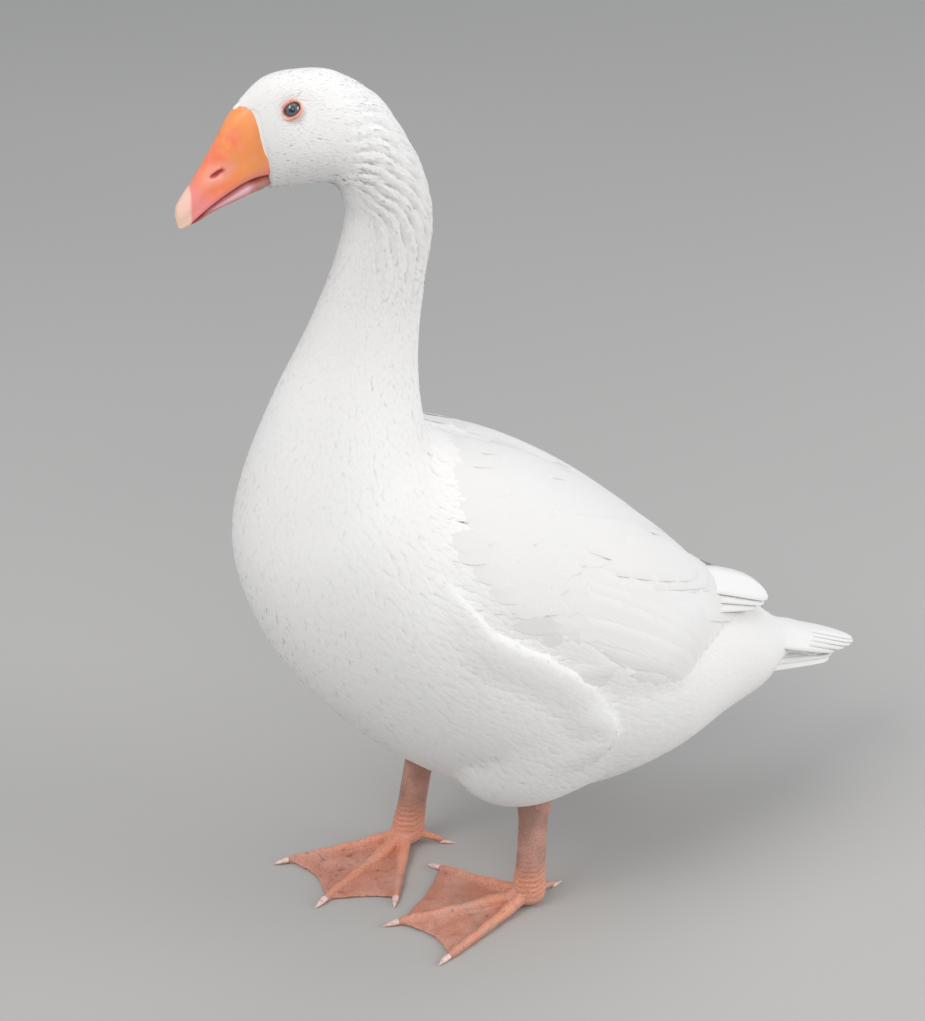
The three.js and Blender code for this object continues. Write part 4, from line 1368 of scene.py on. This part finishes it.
billLook = {
    "base": (0.98, 0.34, 0.105, 1),
    "coral": (0.95, 0.20, 0.10, 1),
    "peach": (0.96, 0.38, 0.27, 1),
    "pink": (0.93, 0.30, 0.29, 1),
    "nail": (0.95, 0.62, 0.50, 1),
    # painted shade: the dark red laid in the hollow of the nostril slit
    "nostril": (0.56, 0.075, 0.09, 1),
    "lilac": (0.78, 0.50, 0.56, 1),
    "rear": (0.42, 0.20, 0.155, 1),
    "edge": (0.55, 0.19, 0.155, 1),
    "roughness": 0.38,
}


def headWay(forward, up, sideways=0.0):
    # a way in the turned head as a way in the model
    turn = place["headTurn"]
    return (sideways * math.cos(turn) - forward * math.sin(turn),
            -forward * math.cos(turn) - sideways * math.sin(turn), up)


def headMeasure(tree, spot, forward, up, start):
    # how far a place lies from start along a way of the head
    offset = vectorNode(tree, "SUBTRACT", spot, tuple(onHead(*start, 0.0)))[0]
    return vectorNode(tree, "DOT_PRODUCT", offset, headWay(forward, up))["Value"]


def billMaterial():
    look = billLook
    material, tree, shader = nodeMaterial("billSkin")
    spot = objectSpot(tree)
    along = headMeasure(tree, spot, 0.675, -0.738, (0.1665, 0.612))
    forward = headMeasure(tree, spot, 1.0, 0.0, (0.2115, 0.560))
    ridge = headMeasure(tree, spot, 0.84, 0.54, (0.1850, 0.6010))
    below = headMeasure(tree, spot, -0.50, -0.866, (0.193, 0.5745))
    slope = billShape["nostrilSlope"]
    slitAlong = headMeasure(tree, spot, math.cos(slope), math.sin(slope), billShape["nostril"])
    slitAside = headMeasure(tree, spot, -math.sin(slope), math.cos(slope), billShape["nostril"])
    nearSlit = roundAway(tree, times(tree, slitAlong, 0.5), slitAside)
    slit = roundAway(tree, times(tree, slitAlong, 0.27), slitAside)
    # coral streaks run down from the ridge, the tip and the lower edge turn pink
    middle = times(tree, ramp(tree, along, -0.004, 0.012), ramp(tree, along, 0.050, 0.030))
    upper = times(tree, ramp(tree, ridge, -0.006, 0.004), 0.8)
    layers = [(times(tree, middle, upper, ramp(tree, noise(tree, 70, 4), 0.40, 0.62)), "coral"),
              (times(tree, ramp(tree, along, 0.018, 0.040), 0.65), "coral"),
              (times(tree, ramp(tree, nearSlit, 0.0095, 0.0030), 0.85), "peach"),
              (times(tree, ramp(tree, noise(tree, 130, 4), 0.48, 0.70), 0.30), "peach"),
              (ramp(tree, along, 0.043, 0.060), "pink"),
              (times(tree, ramp(tree, below, -0.005, 0.002), 0.5), "pink"),
              (ramp(tree, forward, -0.0016, 0.0014), "nail"),
              # painted shade inside the nostril slit
              (ramp(tree, slit, 0.0020, 0.0010), "nostril")]
    colour = layerColours(tree, look, look["base"], layers)
    pits = addNode(tree, "ShaderNodeTexVoronoi", {"Vector": spot, "Scale": 900.0}).outputs[0]
    rough = mathNode(tree, "ADD", times(tree, pits, 0.5), noise(tree, 420, 5))
    values = {"Roughness": look["roughness"], "Subsurface Weight": 0.25, **softFlesh}
    finishShader(tree, shader, colour, values, (rough, 0.30, 0.0004))
    return material


def paleBillMaterial():
    material, tree, shader = nodeMaterial("paleBill")
    spot = objectSpot(tree)
    below = headMeasure(tree, spot, -0.43, -0.90, (0.1815, 0.5722))
    forward = headMeasure(tree, spot, 1.0, 0.0, (0.1720, 0.575))
    layers = [(ramp(tree, below, -0.0002, 0.0016), "edge"),
              (ramp(tree, forward, 0.003, -0.004), "rear"),
              (times(tree, ramp(tree, noise(tree, 220, 4), 0.45, 0.7), 0.35), "pink")]
    colour = layerColours(tree, billLook, billLook["lilac"], layers)
    finishShader(tree, shader, colour, {"Roughness": 0.42}, (noise(tree, 500, 5), 0.3, 0.0004))
    return material


billSkin = billMaterial()
paleBill = paleBillMaterial()
buildBillUpper()
buildBillLower()
print("bill ready")


# Eyes and their lids
eyeLook = {
    "axis": (0.20, 0.30, 0.93),        # forward, up, outward
    "opening": (0.0056, 0.0041),       # half length and half height of the lids' opening
    "tilt": math.radians(33),          # the opening rises toward the back
    "rim": 0.0021,
    "rimFront": 0.0012,                # the rim is this much wider at its front lower corner
    # the rim's section: share of its width outward, and height over the eyeball
    "rimProfile": [(-0.0006, -0.0008), (0.0, 0.0002), (0.16, 0.0009), (0.42, 0.0014), (0.72, 0.0013),
                   (1.0, 0.0004), (1.15, -0.0022), (0.9, -0.0032), (0.1, -0.0032)],
    "around": 64,
    "iris": (0.085, 0.110, 0.135, 1),
    "irisEdge": (0.030, 0.036, 0.045, 1),
    "pupil": (0.010, 0.012, 0.016, 1),
    "ring": (0.84, 0.36, 0.26, 1),
    "ringDeep": (0.66, 0.24, 0.18, 1),
    "ringPale": (0.90, 0.62, 0.54, 1),
}


def eyeFrame(side):
    # centre, outward axis, and the opening's long and short ways
    shape = eyeShape
    centre = onHead(shape["reach"], shape["height"], shape["across"] * side)
    forward, up, out = eyeLook["axis"]
    axis = unit(np.array(headWay(forward, up, out * side)))
    ahead = np.array(headWay(math.cos(eyeLook["tilt"]), -math.sin(eyeLook["tilt"])))
    ahead = unit(ahead - (ahead @ axis) * axis)
    above = np.cross(axis, ahead) * side
    above = above if above[2] > 0 else -above
    return centre, axis, ahead, above


def fromGaze(tree, spot):
    # how far a place lies from the front of the nearer eyeball
    away = []
    for _, side in bothSides:
        centre, axis, _, _ = eyeFrame(side)
        gaze = tuple(centre + axis * eyeShape["radius"])
        away.append(vectorNode(tree, "DISTANCE", spot, gaze)["Value"])
    return mathNode(tree, "MINIMUM", *away)


def eyeMaterial():
    material, tree, shader = nodeMaterial("eyeGloss")
    nearest = fromGaze(tree, objectSpot(tree))
    edge = mathNode(tree, "ADD", nearest, times(tree, noise(tree, 1500, 3), 0.0008))
    layers = [(ramp(tree, edge, 0.0042, 0.0056), "irisEdge"), (ramp(tree, nearest, 0.0023, 0.0018), "pupil")]
    colour = layerColours(tree, eyeLook, eyeLook["iris"], layers)
    finishShader(tree, shader, colour, {"Roughness": 0.08, "Coat Weight": 1.0, "Coat Roughness": 0.03})
    return material


def lidMaterial():
    material, tree, shader = nodeMaterial("lidSkin")
    nearest = fromGaze(tree, objectSpot(tree))
    layers = [(ramp(tree, noise(tree, 520, 4), 0.42, 0.68), "ringDeep"),
              (ramp(tree, nearest, 0.0060, 0.0082), "ringPale")]
    colour = layerColours(tree, eyeLook, eyeLook["ring"], layers)
    finishShader(tree, shader, colour, {"Roughness": 0.42}, (noise(tree, 1300, 3), 0.4, 0.0003))
    return material


def buildEyeball(name, side, gloss):
    centre, axis, ahead, above = eyeFrame(side)
    radius = eyeShape["radius"]
    rows, columns = 28, 48
    polar = np.linspace(0.02, math.pi - 0.02, rows)[:, None]
    turn = (np.arange(columns) / columns * 2 * math.pi)[None]
    bulge = radius * (1 + 0.05 * np.exp(-(polar / 0.6) ** 2))
    x, y, z = np.sin(polar) * np.cos(turn), np.sin(polar) * np.sin(turn), np.cos(polar) + 0 * turn
    spots = centre + bulge[..., None] * (x[..., None] * ahead + y[..., None] * above + z[..., None] * axis)
    ball = makeMesh("eyeball_" + name, spots.reshape(-1, 3), cappedFaces(rows, columns), gloss)
    turnOutward(ball)
    finishPiece(ball, "eye", "eye_" + name)


def buildLids(name, side, lidSkin):
    # the rim: from inside the opening, over its ridge, down into the feathers and back underneath
    centre, axis, ahead, above = eyeFrame(side)
    radius = eyeShape["radius"]
    around = eyeLook["around"]
    turn = np.arange(around) / around * 2 * math.pi
    long, tall = eyeLook["opening"]
    cos, sin = np.cos(turn), np.sin(turn)
    # an almond: pointed at both ends
    openAhead = long * np.sign(cos) * np.abs(cos) ** 0.85
    openAbove = tall * np.sign(sin) * np.abs(sin) ** 1.12
    inner = np.hypot(openAhead, openAbove)
    direction = np.arctan2(openAbove, openAhead)
    wide = eyeLook["rim"] + eyeLook["rimFront"] * bell(turn, 2 * math.pi - 0.35, 0.6)
    wide = wide + eyeLook["rimFront"] * bell(turn, -0.35, 0.6)
    level = np.sqrt(np.maximum(radius ** 2 - inner ** 2, 0.0016 ** 2))
    outside = level - 0.0002
    rings = []
    for share, high in eyeLook["rimProfile"]:
        away = inner + (wide * share if share > 0 else share)
        # fine creases on the upper side
        crease = 0.00012 * np.sin(turn * 17 + share * 5) * (0.2 < share < 0.9)
        flat = (np.cos(direction) * away)[:, None] * ahead + (np.sin(direction) * away)[:, None] * above
        rings.append(centre + flat + (outside + high + crease)[:, None] * axis)
    last = (len(rings) - 1) * around
    faces = gridFaces(len(rings), around)
    faces += [(last + c, last + (c + 1) % around, (c + 1) % around, c) for c in range(around)]
    lid = makeMesh("lids_" + name, np.concatenate(rings), faces, lidSkin)
    turnOutward(lid)
    finishPiece(lid, "bill")


def turnOutward(piece):
    # make the faces of a closed piece point outward
    work = bmesh.new()
    work.from_mesh(piece.data)
    bmesh.ops.recalc_face_normals(work, faces=work.faces)
    work.to_mesh(piece.data)
    work.free()


eyeGloss, lidSkin = eyeMaterial(), lidMaterial()
for eyeName, eyeSide in bothSides:
    buildEyeball(eyeName, eyeSide, eyeGloss)
    buildLids(eyeName, eyeSide, lidSkin)
print("eyes ready")
